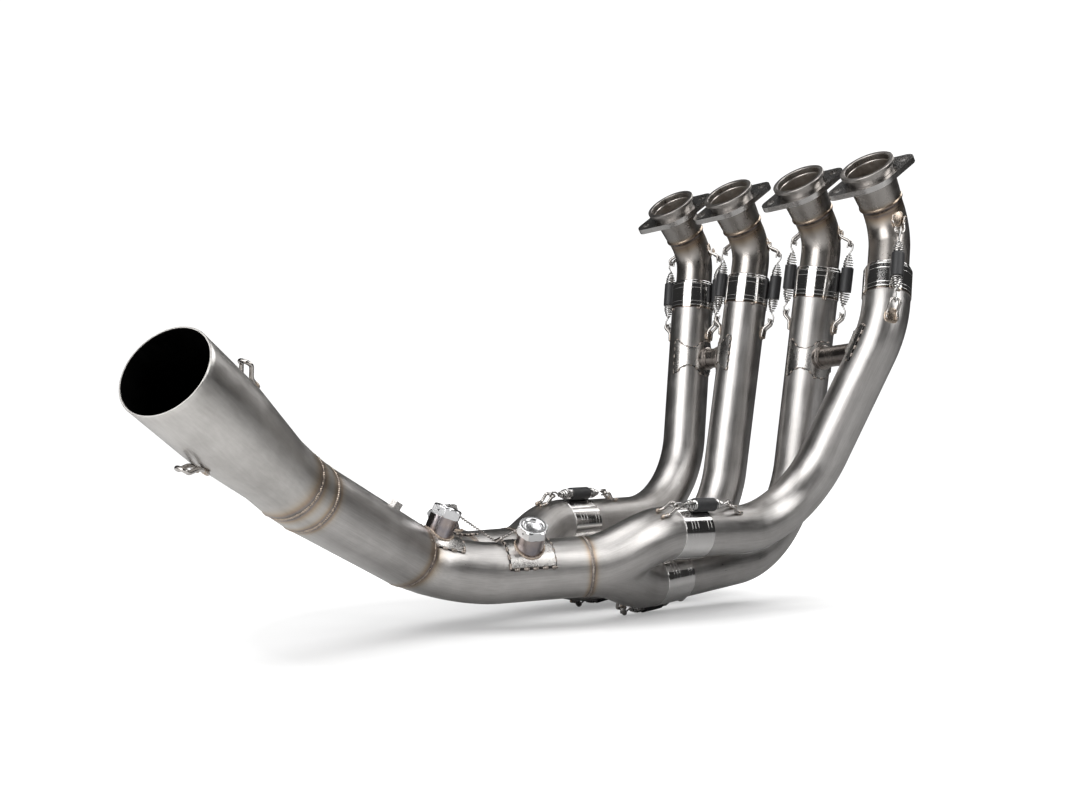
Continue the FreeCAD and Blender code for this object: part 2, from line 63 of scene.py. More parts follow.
# Port row
PORT_TILT = math.radians(41.0)
PORT_X = [0.0, 76.0, 162.0, 238.0]
PORT_OUT = V(0, -math.sin(PORT_TILT), math.cos(PORT_TILT))
PORT_IN = -PORT_OUT
STUB_R = 19.75
STUB_RUN = 70.0
STUB_BEND_R = 45.0
STUB_FROM = 43.0
WALL = 1.2

# Slip joints and primary pipes
PRIMARY_R = 22.5
JOINT_FROM_CORNER = [32.0, 32.5, 32.5, 48.0]
SLEEVE_LENGTH = 32.0
LOWER_LENGTH = 38.0
SLEEVE_R = 23.2
LOWER_SLEEVE_R = 24.0
STUB_INSERT = 26.0
LOWER_INSERT = 27.0
PRIMARY_CORNERS = [
    [(V(3, 9, -341), 100)],
    [(V(53, 7, -367), 100)],
    [(V(119, 38, -375), 100)],
    [(V(249, 10, -156), 100), (V(163, -25, -348), 98)],
]
LOWER_JOINT = [V(3, -164, -345), V(39, -150, -390), V(114, -162, -391), V(150.5, -181, -348)]

# Springs
SPRING_STAND = 29.7
SPRING_TURN = [10.0, 20.0, 15.0, -46.0]
UPPER_EYES = (41.5, 30.5)
LOWER_EYES = [(39.0, 37.0), (42.0, 30.0), (38.0, 39.0), (45.0, 26.0)]
LOWER_TURN = [-16.0, 148.0, 148.0, -36.0]
BAR_R = 1.55
BAR_HALF = 4.4
BRACKET_REACH = 15.0
BRACKET_FOOT = 3.0
COIL_R = 5.2
COIL_TIP_R = 3.0
COIL_TAPER = 8.0
COIL_GAP = 10.0
COIL_PITCH = 2.5
COIL_WIRE_R = 0.8
HOOK_R = 1.0
DAMPER_R = 6.2
DAMPER_LENGTH = 25.0

# Balance tubes
BALANCE_R = 10.5
BALANCE_BELOW = [119.0, 127.0]

SADDLE_THICK = 1.4
SADDLE_HALF = 18.0
SADDLE_WRAP = 96.0
SCALLOP_AT = 52.0
SCALLOP_R = 15.0
SCALLOP_CENTRE = 24.5

# Sensor bungs
BUNG_HEIGHT = 15.0
PLATE_ALONG = 38.0
PLATE_ACROSS = 36.0
PLUG_FLATS = 23.0
PLUG_HEIGHT = 8.0
NEAR_BUNG_AT = 52.0
CRIMP_OUT = V(0.30, 0.10, 0.95)
BUNG_OUT = [V(0.52, -0.27, 0.81), V(0.30, 0.32, 0.88), V(-0.31, -0.05, 0.92)]

# Collectors and tail
SECONDARY_R = 25.2
MERGE_R = 25.4
MERGE_SHARE = 0.78
INLET_STEP = 0.5
RING_FAR = V(29, -279, -370)
RING_NEAR = V(123, -281, -374)
LEG_FAR_DIR = V(10.5, -100.8, -1.4).normalized()
LEG_NEAR_DIR = V(-51.2, -98.6, -4.8).normalized()
LEG_FAR_RUN = 60.0
LEG_NEAR_RUN = 75.0
TAIL_CORNER = V(55.6, -409.8, -364.5)
TAIL_BEND = V(102.0, -554.8, -307.5)
OUTLET = V(156.4, -687.6, -234.0)
TAIL_R = 26.5
TAIL_START = 12.0
COLLAR_HALF = 11.0
MEGAPHONE_R = 31.75
CONE_START = 36.0
CONE_END = 98.0
OUTLET_WALL = 1.5
LOOP_FROM_RIM = 52.0
LOOP_STAND = 8.0
LOOP_OUT = V(0.07, 0.50, 0.86)

scene = bpy.context.scene


# Geometry helpers
def along(point, direction, distance):
    return point + direction.normalized() * distance


def frame_of(direction, hint):
    """Axis, radial direction nearest the hint, and the direction square to both."""
    axis = direction.normalized()
    radial = (hint - axis * hint.dot(axis)).normalized()
    return axis, radial, axis.cross(radial)


def port_corner(i):
    return along(V(PORT_X[i], 0, 0), PORT_IN, STUB_RUN)


def first_direction(i):
    return (PRIMARY_CORNERS[i][0][0] - port_corner(i)).normalized()


def sleeve_top(i):
    return along(port_corner(i), first_direction(i), JOINT_FROM_CORNER[i])


def lower_direction(i):
    return (LOWER_JOINT[i] - PRIMARY_CORNERS[i][-1][0]).normalized()


TAIL_DIR = (TAIL_BEND - TAIL_CORNER).normalized()
MEGAPHONE_DIR = (OUTLET - TAIL_BEND).normalized()
TAIL_FACE = along(TAIL_CORNER, TAIL_DIR, TAIL_START)
COLLAR_START = along(TAIL_BEND, TAIL_DIR, -COLLAR_HALF)
COLLAR_END = along(TAIL_BEND, MEGAPHONE_DIR, COLLAR_HALF)
COLLAR_DIR = (COLLAR_END - COLLAR_START).normalized()
FIRST_MITRE = (TAIL_DIR + COLLAR_DIR).normalized()
SECOND_MITRE = (COLLAR_DIR + MEGAPHONE_DIR).normalized()


def head_corners(i):
    start = along(V(PORT_X[i], 0, 0), PORT_IN, STUB_FROM)
    tip = along(sleeve_top(i), first_direction(i), STUB_INSERT)
    return [(start, 0), (port_corner(i), STUB_BEND_R), (tip, 0)]


def primary_corners(i):
    start = along(sleeve_top(i), first_direction(i), SLEEVE_LENGTH)
    end = along(LOWER_JOINT[i], lower_direction(i), LOWER_INSERT - LOWER_LENGTH / 2)
    return [(start, 0)] + PRIMARY_CORNERS[i] + [(end, 0)]


def rounded(corners, step=2.0):
    """Points along straight runs and the arcs that join them."""
    points = [corners[0][0]]
    for k in range(1, len(corners) - 1):
        corner, radius = corners[k]
        back = (corners[k - 1][0] - corner).normalized()
        ahead = (corners[k + 1][0] - corner).normalized()
        turn = math.pi - back.angle(ahead)
        reach = radius * math.tan(turn / 2)
        centre = corner + (back + ahead).normalized() * (radius / math.cos(turn / 2))
        first = corner + back * reach - centre
        pivot = back.cross(ahead).normalized()
        count = max(3, int(radius * turn / step))
        for j in range(count + 1):
            points.append(centre + Quaternion(pivot, -turn * j / count) @ first)
    points.append(corners[-1][0])
    dense = [points[0]]
    for point in points[1:]:
        gap = (point - dense[-1]).length
        if gap < 1e-6:
            continue
        start = dense[-1]
        for j in range(1, int(gap / step) + 1):
            dense.append(start.lerp(point, j / (int(gap / step) + 1)))
        dense.append(point)
    return dense


def hermite(start, start_dir, end, end_dir, count=60):
    """Smooth curve between two points with both directions given."""
    pull = (end - start).length
    points = []
    for k in range(count + 1):
        t = k / count
        points.append(
            start * (2 * t ** 3 - 3 * t ** 2 + 1) + start_dir * pull * (t ** 3 - 2 * t ** 2 + t)
            + end * (3 * t ** 2 - 2 * t ** 3) + end_dir * pull * (t ** 3 - t ** 2))
    return points


def nearest(path, point):
    """The place on a list of points that is nearest to a point."""
    best = None
    for a, b in zip(path, path[1:]):
        run = b - a
        t = min(1.0, max(0.0, (point - a).dot(run) / run.length_squared))
        spot = a + run * t
        if best is None or (spot - point).length < (best - point).length:
            best = spot
    return best


# Node helpers
def node(tree, kind, values=None, **settings):
    """Adds a node. Values fill its inputs: a socket is linked, anything else is set."""
    made = tree.nodes.new(kind)
    for key, value in settings.items():
        setattr(made, key, value)
    for key, value in (values or {}).items():
        if isinstance(value, bpy.types.NodeSocket):
            tree.links.new(value, made.inputs[key])
        else:
            made.inputs[key].default_value = value
    return made


def calc(tree, operation, *terms, clamp=False):
    kind = "ShaderNodeMath"
    return node(tree, kind, dict(enumerate(terms)), operation=operation, use_clamp=clamp).outputs[0]


def vcalc(tree, operation, *terms):
    return node(tree, "ShaderNodeVectorMath", dict(enumerate(terms)), operation=operation).outputs[0]


def vscale(tree, vector, factor):
    made = node(tree, "ShaderNodeVectorMath", {0: vector, "Scale": factor}, operation="SCALE")
    return made.outputs[0]


def new_tree(name, inputs, outputs, kind="GeometryNodeTree"):
    tree = bpy.data.node_groups.new(name, kind)
    for label, socket, default in inputs:
        made = tree.interface.new_socket(label, in_out="INPUT", socket_type="NodeSocket" + socket)
        if default is not None:
            made.default_value = default
    for label, socket in outputs:
        tree.interface.new_socket(label, in_out="OUTPUT", socket_type="NodeSocket" + socket)
    return tree, tree.nodes.new("NodeGroupInput").outputs, tree.nodes.new("NodeGroupOutput").inputs


def captured(tree, geometry, socket, kind, name):
    """Keeps a field on the points of a curve, and returns the curve and the kept value."""
    keeper = tree.nodes.new("GeometryNodeCaptureAttribute")
    keeper.capture_items.new(kind, name)
    tree.links.new(geometry, keeper.inputs[0])
    tree.links.new(socket, keeper.inputs[1])
    return keeper.outputs[0], keeper.outputs[1]


def swept(tree, curve, radius, sides, material, caps=False):
    """Round skin along a curve, with the place on the straightened bar kept as an attribute."""
    run = node(tree, "GeometryNodeSplineParameter").outputs["Length"]
    curve, run = captured(tree, curve, run, "FLOAT", "run")
    circle = node(tree, "GeometryNodeCurvePrimitiveCircle", {"Resolution": sides, "Radius": radius})
    position = node(tree, "GeometryNodeInputPosition").outputs[0]
    profile, place = captured(tree, circle.outputs[0], position, "VECTOR", "place")
    skin = node(tree, "GeometryNodeCurveToMesh", {0: curve, 1: profile, "Fill Caps": caps}).outputs[0]
    parts = node(tree, "ShaderNodeSeparateXYZ", {0: place}).outputs
    straight = node(tree, "ShaderNodeCombineXYZ", {0: parts[0], 1: parts[1], 2: run}).outputs[0]
    stored = node(tree, "GeometryNodeStoreNamedAttribute",
                  {"Geometry": skin, "Name": "straight", "Value": straight},
                  data_type="FLOAT_VECTOR", domain="POINT").outputs[0]
    smooth = node(tree, "GeometryNodeSetShadeSmooth", {0: stored}).outputs[0]
    real = node(tree, "GeometryNodeRealizeInstances", {0: smooth}).outputs[0]
    return node(tree, "GeometryNodeSetMaterial", {"Geometry": real, "Material": material}).outputs[0]


def bent_bar_tree():
    """Turns runs of edges into round bars. Each corner is bent to its own radius."""
    tree, given, result = new_tree("bent_bar", [
        ("Geometry", "Geometry", None), ("Radius", "Float", 0.02), ("Sides", "Int", 96),
        ("Arc steps", "Int", 48), ("Caps", "Bool", False), ("Material", "Material", None)],
        [("Geometry", "Geometry")])
    curve = node(tree, "GeometryNodeMeshToCurve", {0: given["Geometry"]}).outputs[0]
    bend = node(tree, "GeometryNodeInputNamedAttribute", {"Name": "bend_radius"}, data_type="FLOAT")
    curve = node(tree, "GeometryNodeFilletCurve", {
        "Curve": curve, "Count": given["Arc steps"], "Radius": bend.outputs[0],
        "Limit Radius": True}, mode="POLY").outputs[0]
    skin = swept(tree, curve, given["Radius"], given["Sides"], given["Material"], given["Caps"])
    tree.links.new(skin, result[0])
    return tree


def spring_tree():
    """Winds a close coil with tapered ends around each straight edge."""
    tree, given, result = new_tree("tension_spring", [
        ("Geometry", "Geometry", None), ("Coil radius", "Float", 0.004), ("Tip radius", "Float", 0.003),
        ("Taper", "Float", 0.008), ("End gap", "Float", 0.01), ("Pitch", "Float", 0.0015),
        ("Wire radius", "Float", 0.0007), ("Steps per turn", "Int", 14), ("Sides", "Int", 8),
        ("Material", "Material", None)], [("Geometry", "Geometry")])
    curve = node(tree, "GeometryNodeMeshToCurve", {0: given["Geometry"]}).outputs[0]
    whole = node(tree, "GeometryNodeSplineLength").outputs["Length"]
    wound = calc(tree, "SUBTRACT", whole, calc(tree, "MULTIPLY", given["End gap"], 2.0))
    turns = calc(tree, "DIVIDE", wound, given["Pitch"])
    count = calc(tree, "MULTIPLY", turns, given["Steps per turn"])
    curve = node(tree, "GeometryNodeResampleCurve", {"Curve": curve, "Count": count}).outputs[0]
    share = node(tree, "GeometryNodeSplineParameter").outputs["Factor"]
    inside = calc(tree, "MULTIPLY", share, wound)
    shift = calc(tree, "SUBTRACT", calc(tree, "ADD", inside, given["End gap"]),
                 calc(tree, "MULTIPLY", share, whole))
    from_end = calc(tree, "MINIMUM", inside, calc(tree, "SUBTRACT", wound, inside))
    fullness = calc(tree, "DIVIDE", from_end, given["Taper"], clamp=True)
    radius = calc(tree, "ADD", given["Tip radius"], calc(
        tree, "MULTIPLY", fullness, calc(tree, "SUBTRACT", given["Coil radius"], given["Tip radius"])))
    angle = calc(tree, "MULTIPLY", calc(tree, "MULTIPLY", share, turns), 2 * math.pi)
    tangent = node(tree, "GeometryNodeInputTangent").outputs[0]
    normal = node(tree, "GeometryNodeInputNormal").outputs[0]
    side = vcalc(tree, "CROSS_PRODUCT", tangent, normal)
    offset = vcalc(
        tree, "ADD", vscale(tree, normal, calc(tree, "MULTIPLY", radius, calc(tree, "COSINE", angle))),
        vscale(tree, side, calc(tree, "MULTIPLY", radius, calc(tree, "SINE", angle))))
    offset = vcalc(tree, "ADD", offset, vscale(tree, tangent, shift))
    coil = node(tree, "GeometryNodeSetPosition", {"Geometry": curve, "Offset": offset}).outputs[0]
    skin = swept(tree, coil, given["Wire radius"], given["Sides"], given["Material"], True)
    tree.links.new(skin, result[0])
    return tree


def weld_tree():
    """Lays overlapping drops of weld metal along each run. With a period it leaves gaps between stitches."""
    tree, given, result = new_tree("weld_bead", [
        ("Geometry", "Geometry", None), ("Drop radius", "Float", 0.001), ("Spacing", "Float", 0.001),
        ("Long", "Float", 0.8), ("High", "Float", 0.6), ("Uneven", "Float", 0.15),
        ("Period", "Float", 1.0), ("Filled", "Float", 1.0), ("Seed", "Int", 3),
        ("Material", "Material", None)], [("Geometry", "Geometry")])
    curve = node(tree, "GeometryNodeMeshToCurve", {0: given["Geometry"]}).outputs[0]
    spots = node(tree, "GeometryNodeCurveToPoints", {"Curve": curve, "Length": given["Spacing"]},
                 mode="LENGTH").outputs
    drop = node(tree, "GeometryNodeMeshIcoSphere", {"Radius": given["Drop radius"], "Subdivisions": 2})
    shape = node(tree, "ShaderNodeCombineXYZ", {0: given["High"], 1: 1.0, 2: given["Long"]}).outputs[0]
    low = calc(tree, "SUBTRACT", 1.0, given["Uneven"])
    high = calc(tree, "ADD", 1.0, given["Uneven"])
    size = node(tree, "FunctionNodeRandomValue", {2: low, 3: high, "Seed": given["Seed"]},
                data_type="FLOAT").outputs[1]
    index = node(tree, "GeometryNodeInputIndex").outputs[0]
    step = calc(tree, "MODULO", index, given["Period"])
    keep = calc(tree, "LESS_THAN", step, given["Filled"])
    drops = node(tree, "GeometryNodeInstanceOnPoints", {
        "Points": spots["Points"], "Selection": keep, "Instance": drop.outputs[0],
        "Rotation": spots["Rotation"], "Scale": vscale(tree, shape, size)}).outputs[0]
    real = node(tree, "GeometryNodeRealizeInstances", {0: drops}).outputs[0]
    smooth = node(tree, "GeometryNodeSetShadeSmooth", {0: real}).outputs[0]
    made = node(tree, "GeometryNodeSetMaterial", {"Geometry": smooth, "Material": given["Material"]})
    tree.links.new(made.outputs[0], result[0])
    return tree


# Mesh helpers
def grown(tree, base, inputs):
    """Runs a geometry tree on a base mesh and returns the plain mesh that it makes."""
    holder = bpy.data.objects.new("holder", base)
    scene.collection.objects.link(holder)
    modifier = holder.modifiers.new("grow", "NODES")
    modifier.node_group = tree
    for item in tree.interface.items_tree:
        if item.item_type == "SOCKET" and item.in_out == "INPUT" and item.name in inputs:
            modifier[item.identifier] = inputs[item.name]
    done = holder.evaluated_get(bpy.context.evaluated_depsgraph_get())
    mesh = bpy.data.meshes.new_from_object(done)
    bpy.data.objects.remove(holder)
    return mesh


def polylines(runs):
    """Base mesh of edge runs. Each run is a list of (point, bend radius)."""
    points = []
    edges = []
    bends = []
    for run in runs:
        first = len(points)
        for point, bend in run:
            points.append(point * MM)
            bends.append(bend * MM)
        edges += [(k, k + 1) for k in range(first, len(points) - 1)]
    mesh = bpy.data.meshes.new("runs")
    mesh.from_pydata(points, edges, [])
    mesh.attributes.new("bend_radius", "FLOAT", "POINT").data.foreach_set("value", bends)
    return mesh


def piece(name, mesh, nodes, wall=0.0, sharp=40.0, colour=None, lining=None):
    """Makes a finished piece of a mesh: walls, clean normals, its ride and what it stands for.
    A lining colours the inner side of a walled tube."""
    made = bpy.data.objects.new(name, mesh)
    mesh.name = name
    scene.collection.objects.link(made)
    if wall:
        skin = made.modifiers.new("wall", "SOLIDIFY")
        skin.thickness = wall * MM
        skin.offset = -1
        skin.material_offset = 1 if lining else 0
        done = made.evaluated_get(bpy.context.evaluated_depsgraph_get())
        thick = bpy.data.meshes.new_from_object(done)
        made.modifiers.clear()
        made.data = thick
        mesh = thick
    mesh.shade_smooth()
    mesh.set_sharp_from_angle(angle=math.radians(sharp))
    if colour is not None:
        inner = [face.index for face in mesh.polygons if face.material_index == 1]
        mesh.materials.clear()
        mesh.materials.append(colour)
        if lining:
            mesh.materials.append(lining)
            for index in inner:
                mesh.polygons[index].material_index = 1
    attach(made, "root")
    if nodes:
        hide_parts(*nodes)
    return made


def mesh_of(points, faces, straight=None):
    mesh = bpy.data.meshes.new("made")
    mesh.from_pydata([tuple(p) for p in points], [], faces)
    if straight is not None:
        flat = np.array(straight, np.float32).reshape(-1)
        mesh.attributes.new("straight", "FLOAT_VECTOR", "POINT").data.foreach_set("vector", flat)
    mesh.update()
    return mesh


def turned(profile, centre, axis, hint, sides=96, planes=(), shape=None, inner_from=None):
    """Revolves a closed list of (distance along the axis, radius). Each plane trims the piece along
    the axis. Rows from inner_from on take the second material."""
    main, radial, side = frame_of(axis, hint)
    points = []
    straight = []
    for s, r in profile:
        for k in range(sides):
            angle = 2 * math.pi * k / sides
            reach = shape(r, angle) if shape else r
            out = radial * math.cos(angle) + side * math.sin(angle)
            spot = s
            for point, normal, keep in planes:
                edge = (point - centre - out * reach).dot(normal) / main.dot(normal)
                spot = max(spot, edge) if keep > 0 else min(spot, edge)
            points.append((centre + main * spot + out * reach) * MM)
            straight.append((reach * math.cos(angle) * MM, reach * math.sin(angle) * MM, spot * MM))
    faces = []
    rows = len(profile)
    for j in range(rows):
        for k in range(sides):
            a = j * sides + k
            b = j * sides + (k + 1) % sides
            c = (j + 1) % rows * sides + (k + 1) % sides
            d = (j + 1) % rows * sides + k
            faces.append((a, b, c, d))
    mesh = mesh_of(points, faces, straight)
    if inner_from is not None:
        for face in mesh.polygons:
            row = face.index // sides
            face.material_index = int(inner_from <= row < rows - 1)
    shape_up = bmesh.new()
    shape_up.from_mesh(mesh)
    bmesh.ops.remove_doubles(shape_up, verts=shape_up.verts, dist=1e-7)
    bmesh.ops.recalc_face_normals(shape_up, faces=shape_up.faces)
    shape_up.to_mesh(mesh)
    shape_up.free()
    return mesh


def tube_distance(spots, path, radius):
    """Distance from a tapering tube's wall, the nearest place on its centreline, and the run to it."""
    best = np.full(len(spots), 1e9)
    place = np.zeros_like(spots)
    run_to = np.zeros(len(spots))
    done = 0.0
    for a, b, ra, rb in zip(path, path[1:], radius, radius[1:]):
        run = b - a
        t = np.clip(((spots - a) @ run) / (run @ run), 0, 1)
        centre = a + t[:, None] * run
        gap = np.linalg.norm(spots - centre, axis=1) - (ra + (rb - ra) * t)
        near = gap < best
        best[near] = gap[near]
        place[near] = centre[near]
        run_to[near] = done + t[near] * np.linalg.norm(run)
        done += np.linalg.norm(run)
    return best, place, run_to


def blended(tubes, ends, fillet=7.0, cell=1.4):
    """One skin over two tubes that run into each other, with a soft crotch between them.
    Each end is a point and the direction in which the piece stops there."""
    paths = [np.array([tuple(p) for p in path]) for path, _ in tubes]
    radii = [np.array(radius, float) for _, radius in tubes]

    def field(spots):
        one, here, _ = tube_distance(spots, paths[0], radii[0])
        two, there, _ = tube_distance(spots, paths[1], radii[1])
        width = fillet * np.clip(np.linalg.norm(here - there, axis=1) / 15, 0.02, 1)
        mix = np.clip(width - np.abs(one - two), 0, None) / width
        return np.minimum(one, two) - mix ** 3 * width / 6

    start = bmesh.new()
    for path, radius in tubes:
        rod = grown(BENT_BAR, polylines([[(p, 0) for p in path]]),
                    {"Radius": float(np.mean(radius)) * MM, "Sides": 48, "Caps": True})
        start.from_mesh(rod)
    mesh = bpy.data.meshes.new("blend")
    start.to_mesh(mesh)
    start.free()
    holder = bpy.data.objects.new("holder", mesh)
    scene.collection.objects.link(holder)
    voxels = holder.modifiers.new("voxels", "REMESH")
    voxels.mode = "VOXEL"
    voxels.voxel_size = cell * MM
    done = holder.evaluated_get(bpy.context.evaluated_depsgraph_get())
    mesh = bpy.data.meshes.new_from_object(done)
    bpy.data.objects.remove(holder)
    spots = np.empty(len(mesh.vertices) * 3)
    mesh.vertices.foreach_get("co", spots)
    spots = spots.reshape(-1, 3) / MM
    edges = np.empty(len(mesh.edges) * 2, int)
    mesh.edges.foreach_get("vertices", edges)
    edges = edges.reshape(-1, 2)
    links = np.bincount(edges.ravel(), minlength=len(spots))[:, None]
    for _ in range(5):
        value = field(spots)
        slope = np.stack([field(spots + step) - value for step in np.eye(3) * 0.05], 1) / 0.05
        normal = slope / np.maximum(np.linalg.norm(slope, axis=1), 1e-6)[:, None]
        spots = spots - value[:, None] * normal
        total = np.zeros_like(spots)
        np.add.at(total, edges[:, 0], spots[edges[:, 1]])
        np.add.at(total, edges[:, 1], spots[edges[:, 0]])
        move = total / links - spots
        spots = spots + 0.6 * (move - (move * normal).sum(1)[:, None] * normal)
    value = field(spots)
    spots = spots - value[:, None] * normal
    mesh.vertices.foreach_set("co", (spots * MM).ravel())
    shape_up = bmesh.new()
    shape_up.from_mesh(mesh)
    for point, way in ends:
        spot = point * MM
        near = [f for f in shape_up.faces if (f.calc_center_median() - spot).length < 0.0305]
        corners = {v for f in near for v in f.verts}
        lines = {e for f in near for e in f.edges}
        bmesh.ops.bisect_plane(
            shape_up, geom=list(corners) + list(lines) + near, dist=1e-7,
            plane_co=spot, plane_no=way, clear_outer=False)
        gone = [f for f in shape_up.faces
                if (f.calc_center_median() - spot).length < 0.0305
                and (f.calc_center_median() - spot).dot(way) > 1e-7]
        bmesh.ops.delete(shape_up, geom=gone, context="FACES")
    bmesh.ops.recalc_face_normals(shape_up, faces=shape_up.faces)
    shape_up.to_mesh(mesh)
    shape_up.free()
    spots = np.empty(len(mesh.vertices) * 3)
    mesh.vertices.foreach_get("co", spots)
    spots = spots.reshape(-1, 3) / MM
    one, here, run_one = tube_distance(spots, paths[0], radii[0])
    two, there, run_two = tube_distance(spots, paths[1], radii[1])
    nearer = (one < two)[:, None]
    out = np.where(nearer, spots - here, spots - there)
    run = np.where(nearer[:, 0], run_one, run_two)
    straight = np.stack([out[:, 0], out[:, 2], run], 1) * MM
    mesh.attributes.new("straight", "FLOAT_VECTOR", "POINT").data.foreach_set(
        "vector", straight.astype(np.float32).ravel())
    return mesh


def heated(made, spots):
    """Keeps how much each point was heated by the welds near it. A spot is a place and its own reach."""
    mesh = made.data
    places = np.empty(len(mesh.vertices) * 3)
    mesh.vertices.foreach_get("co", places)
    places = places.reshape(-1, 3) / MM
    heat = np.zeros(len(places))
    for point, normal, size in spots:
        gap = places - np.array(tuple(point))
        if normal is not None:
            reach_out = np.linalg.norm(gap, axis=1) < 45
            away = np.abs(gap @ np.array(tuple(normal.normalized())))
            heat = np.maximum(heat, np.exp(-(away / size) ** 2) * reach_out)
        else:
            heat = np.maximum(heat, np.exp(-(np.linalg.norm(gap, axis=1) / size) ** 2))
    layer = mesh.attributes.get("weld_heat") or mesh.attributes.new("weld_heat", "FLOAT", "POINT")
    layer.data.foreach_set("value", heat.astype(np.float32))
    mesh.update()
    return made


# Finishes
def grain_group():
    """Drawn streaks, fine satin grain and slow blotches over a surface."""
    tree, given, result = new_tree("satin_grain", [
        ("Place", "Vector", None), ("Fine", "Float", 1400.0), ("Stretch", "Float", 30.0),
        ("Blotch size", "Float", 40.0)],
        [("Streaks", "Float"), ("Grain", "Float"), ("Blotches", "Float")], "ShaderNodeTree")
    squeeze = node(tree, "ShaderNodeCombineXYZ", {
        0: 1.0, 1: 1.0, 2: calc(tree, "DIVIDE", 1.0, given["Stretch"])}).outputs[0]
    drawn = vcalc(tree, "MULTIPLY", given["Place"], squeeze)
    fine = node(tree, "ShaderNodeTexNoise", {
        "Vector": drawn, "Scale": given["Fine"], "Detail": 2.0, "Roughness": 0.6}).outputs["Fac"]
    broad = node(tree, "ShaderNodeTexNoise", {
        "Vector": drawn, "Scale": calc(tree, "MULTIPLY", given["Fine"], 0.16), "Detail": 4.0,
        "Roughness": 0.65}).outputs["Fac"]
    streaks = calc(tree, "ADD", calc(tree, "MULTIPLY", fine, 0.5), calc(tree, "MULTIPLY", broad, 0.5))
    grain = node(tree, "ShaderNodeTexNoise", {
        "Vector": given["Place"], "Scale": calc(tree, "MULTIPLY", given["Fine"], 1.6),
        "Detail": 2.0, "Roughness": 0.7}).outputs["Fac"]
    blotches = node(tree, "ShaderNodeTexNoise", {
        "Vector": given["Place"], "Scale": given["Blotch size"], "Detail": 5.0,
        "Roughness": 0.62}).outputs["Fac"]
    for k, made in enumerate((streaks, grain, blotches)):
        sharper = calc(tree, "ADD", calc(tree, "MULTIPLY", calc(tree, "SUBTRACT", made, 0.5), 2.2), 0.5,
                       clamp=True)
        tree.links.new(sharper, result[k])
    return tree


def tint_group():
    """Colours that welding heat leaves, from straw through brown and violet to blue."""
    tree, given, result = new_tree("heat_tint", [
        ("Base", "Color", None), ("Heat", "Float", 0.0), ("Break up", "Float", 0.5)],
        [("Colour", "Color")], "ShaderNodeTree")
    rough = calc(tree, "MULTIPLY", calc(tree, "SUBTRACT", given["Break up"], 0.5), 0.45)
    level = calc(tree, "ADD", given["Heat"], calc(tree, "MULTIPLY", rough, given["Heat"]), clamp=True)
    ramp = node(tree, "ShaderNodeValToRGB", {0: level})
    stops = ramp.color_ramp.elements
    for place, colour in ((0.3, (0.92, 0.84, 0.74)), (0.6, (0.80, 0.66, 0.52)),
                          (0.8, (0.62, 0.52, 0.46)), (0.92, (0.50, 0.47, 0.48))):
        stops.new(place).color = colour + (1,)
    stops[0].color = (1, 1, 1, 1)
    stops[-1].color = (0.40, 0.37, 0.35, 1)
    mixed = node(tree, "ShaderNodeMix", {0: 1.0, 6: given["Base"], 7: ramp.outputs[0]},
                 data_type="RGBA", blend_type="MULTIPLY").outputs[2]
    tree.links.new(mixed, result[0])
    return tree


GRAIN = grain_group()
TINT = tint_group()


def metal(name, light, dark, rough, spread=0.12, fine=1400.0, stretch=30.0, blotch=40.0, bump=0.2,
          streak=0.6, object_space=False):
    """Satin metal with drawn streaks, slow blotches and heat tint."""
    made = bpy.data.materials.new(name)
    made.use_nodes = True
    tree = made.node_tree
    shader = tree.nodes["Principled BSDF"]
    if object_space:
        place = node(tree, "ShaderNodeTexCoord").outputs["Object"]
    else:
        place = node(tree, "ShaderNodeAttribute", attribute_name="straight").outputs["Vector"]
    grain = node(tree, "ShaderNodeGroup", node_tree=GRAIN)
    tree.links.new(place, grain.inputs["Place"])
    grain.inputs["Fine"].default_value = fine
    grain.inputs["Stretch"].default_value = stretch
    grain.inputs["Blotch size"].default_value = blotch
    heat = node(tree, "ShaderNodeAttribute", attribute_name="weld_heat").outputs["Fac"]
    share = calc(tree, "ADD", calc(tree, "MULTIPLY", grain.outputs["Streaks"], streak),
                 calc(tree, "MULTIPLY", grain.outputs["Blotches"], 1 - streak))
    body = node(tree, "ShaderNodeMix", {0: share, 6: dark + (1,), 7: light + (1,)},
                data_type="RGBA").outputs[2]
    tint = node(tree, "ShaderNodeGroup", node_tree=TINT)
    tree.links.new(body, tint.inputs["Base"])
    tree.links.new(heat, tint.inputs["Heat"])
    tree.links.new(grain.outputs["Blotches"], tint.inputs["Break up"])
    tree.links.new(tint.outputs[0], shader.inputs["Base Color"])
    shader.inputs["Metallic"].default_value = 1.0
    change = calc(tree, "ADD", calc(tree, "MULTIPLY", grain.outputs["Streaks"], spread),
                  calc(tree, "MULTIPLY", grain.outputs["Blotches"], spread))
    level = calc(tree, "ADD", change, rough - spread, clamp=True)
    tree.links.new(level, shader.inputs["Roughness"])
    if bump:
        height = calc(tree, "ADD", grain.outputs["Streaks"],
                      calc(tree, "MULTIPLY", grain.outputs["Grain"], 0.5))
        relief = node(tree, "ShaderNodeBump", {
            "Strength": bump, "Distance": 0.0002, "Height": height})
        tree.links.new(relief.outputs[0], shader.inputs["Normal"])
    return made


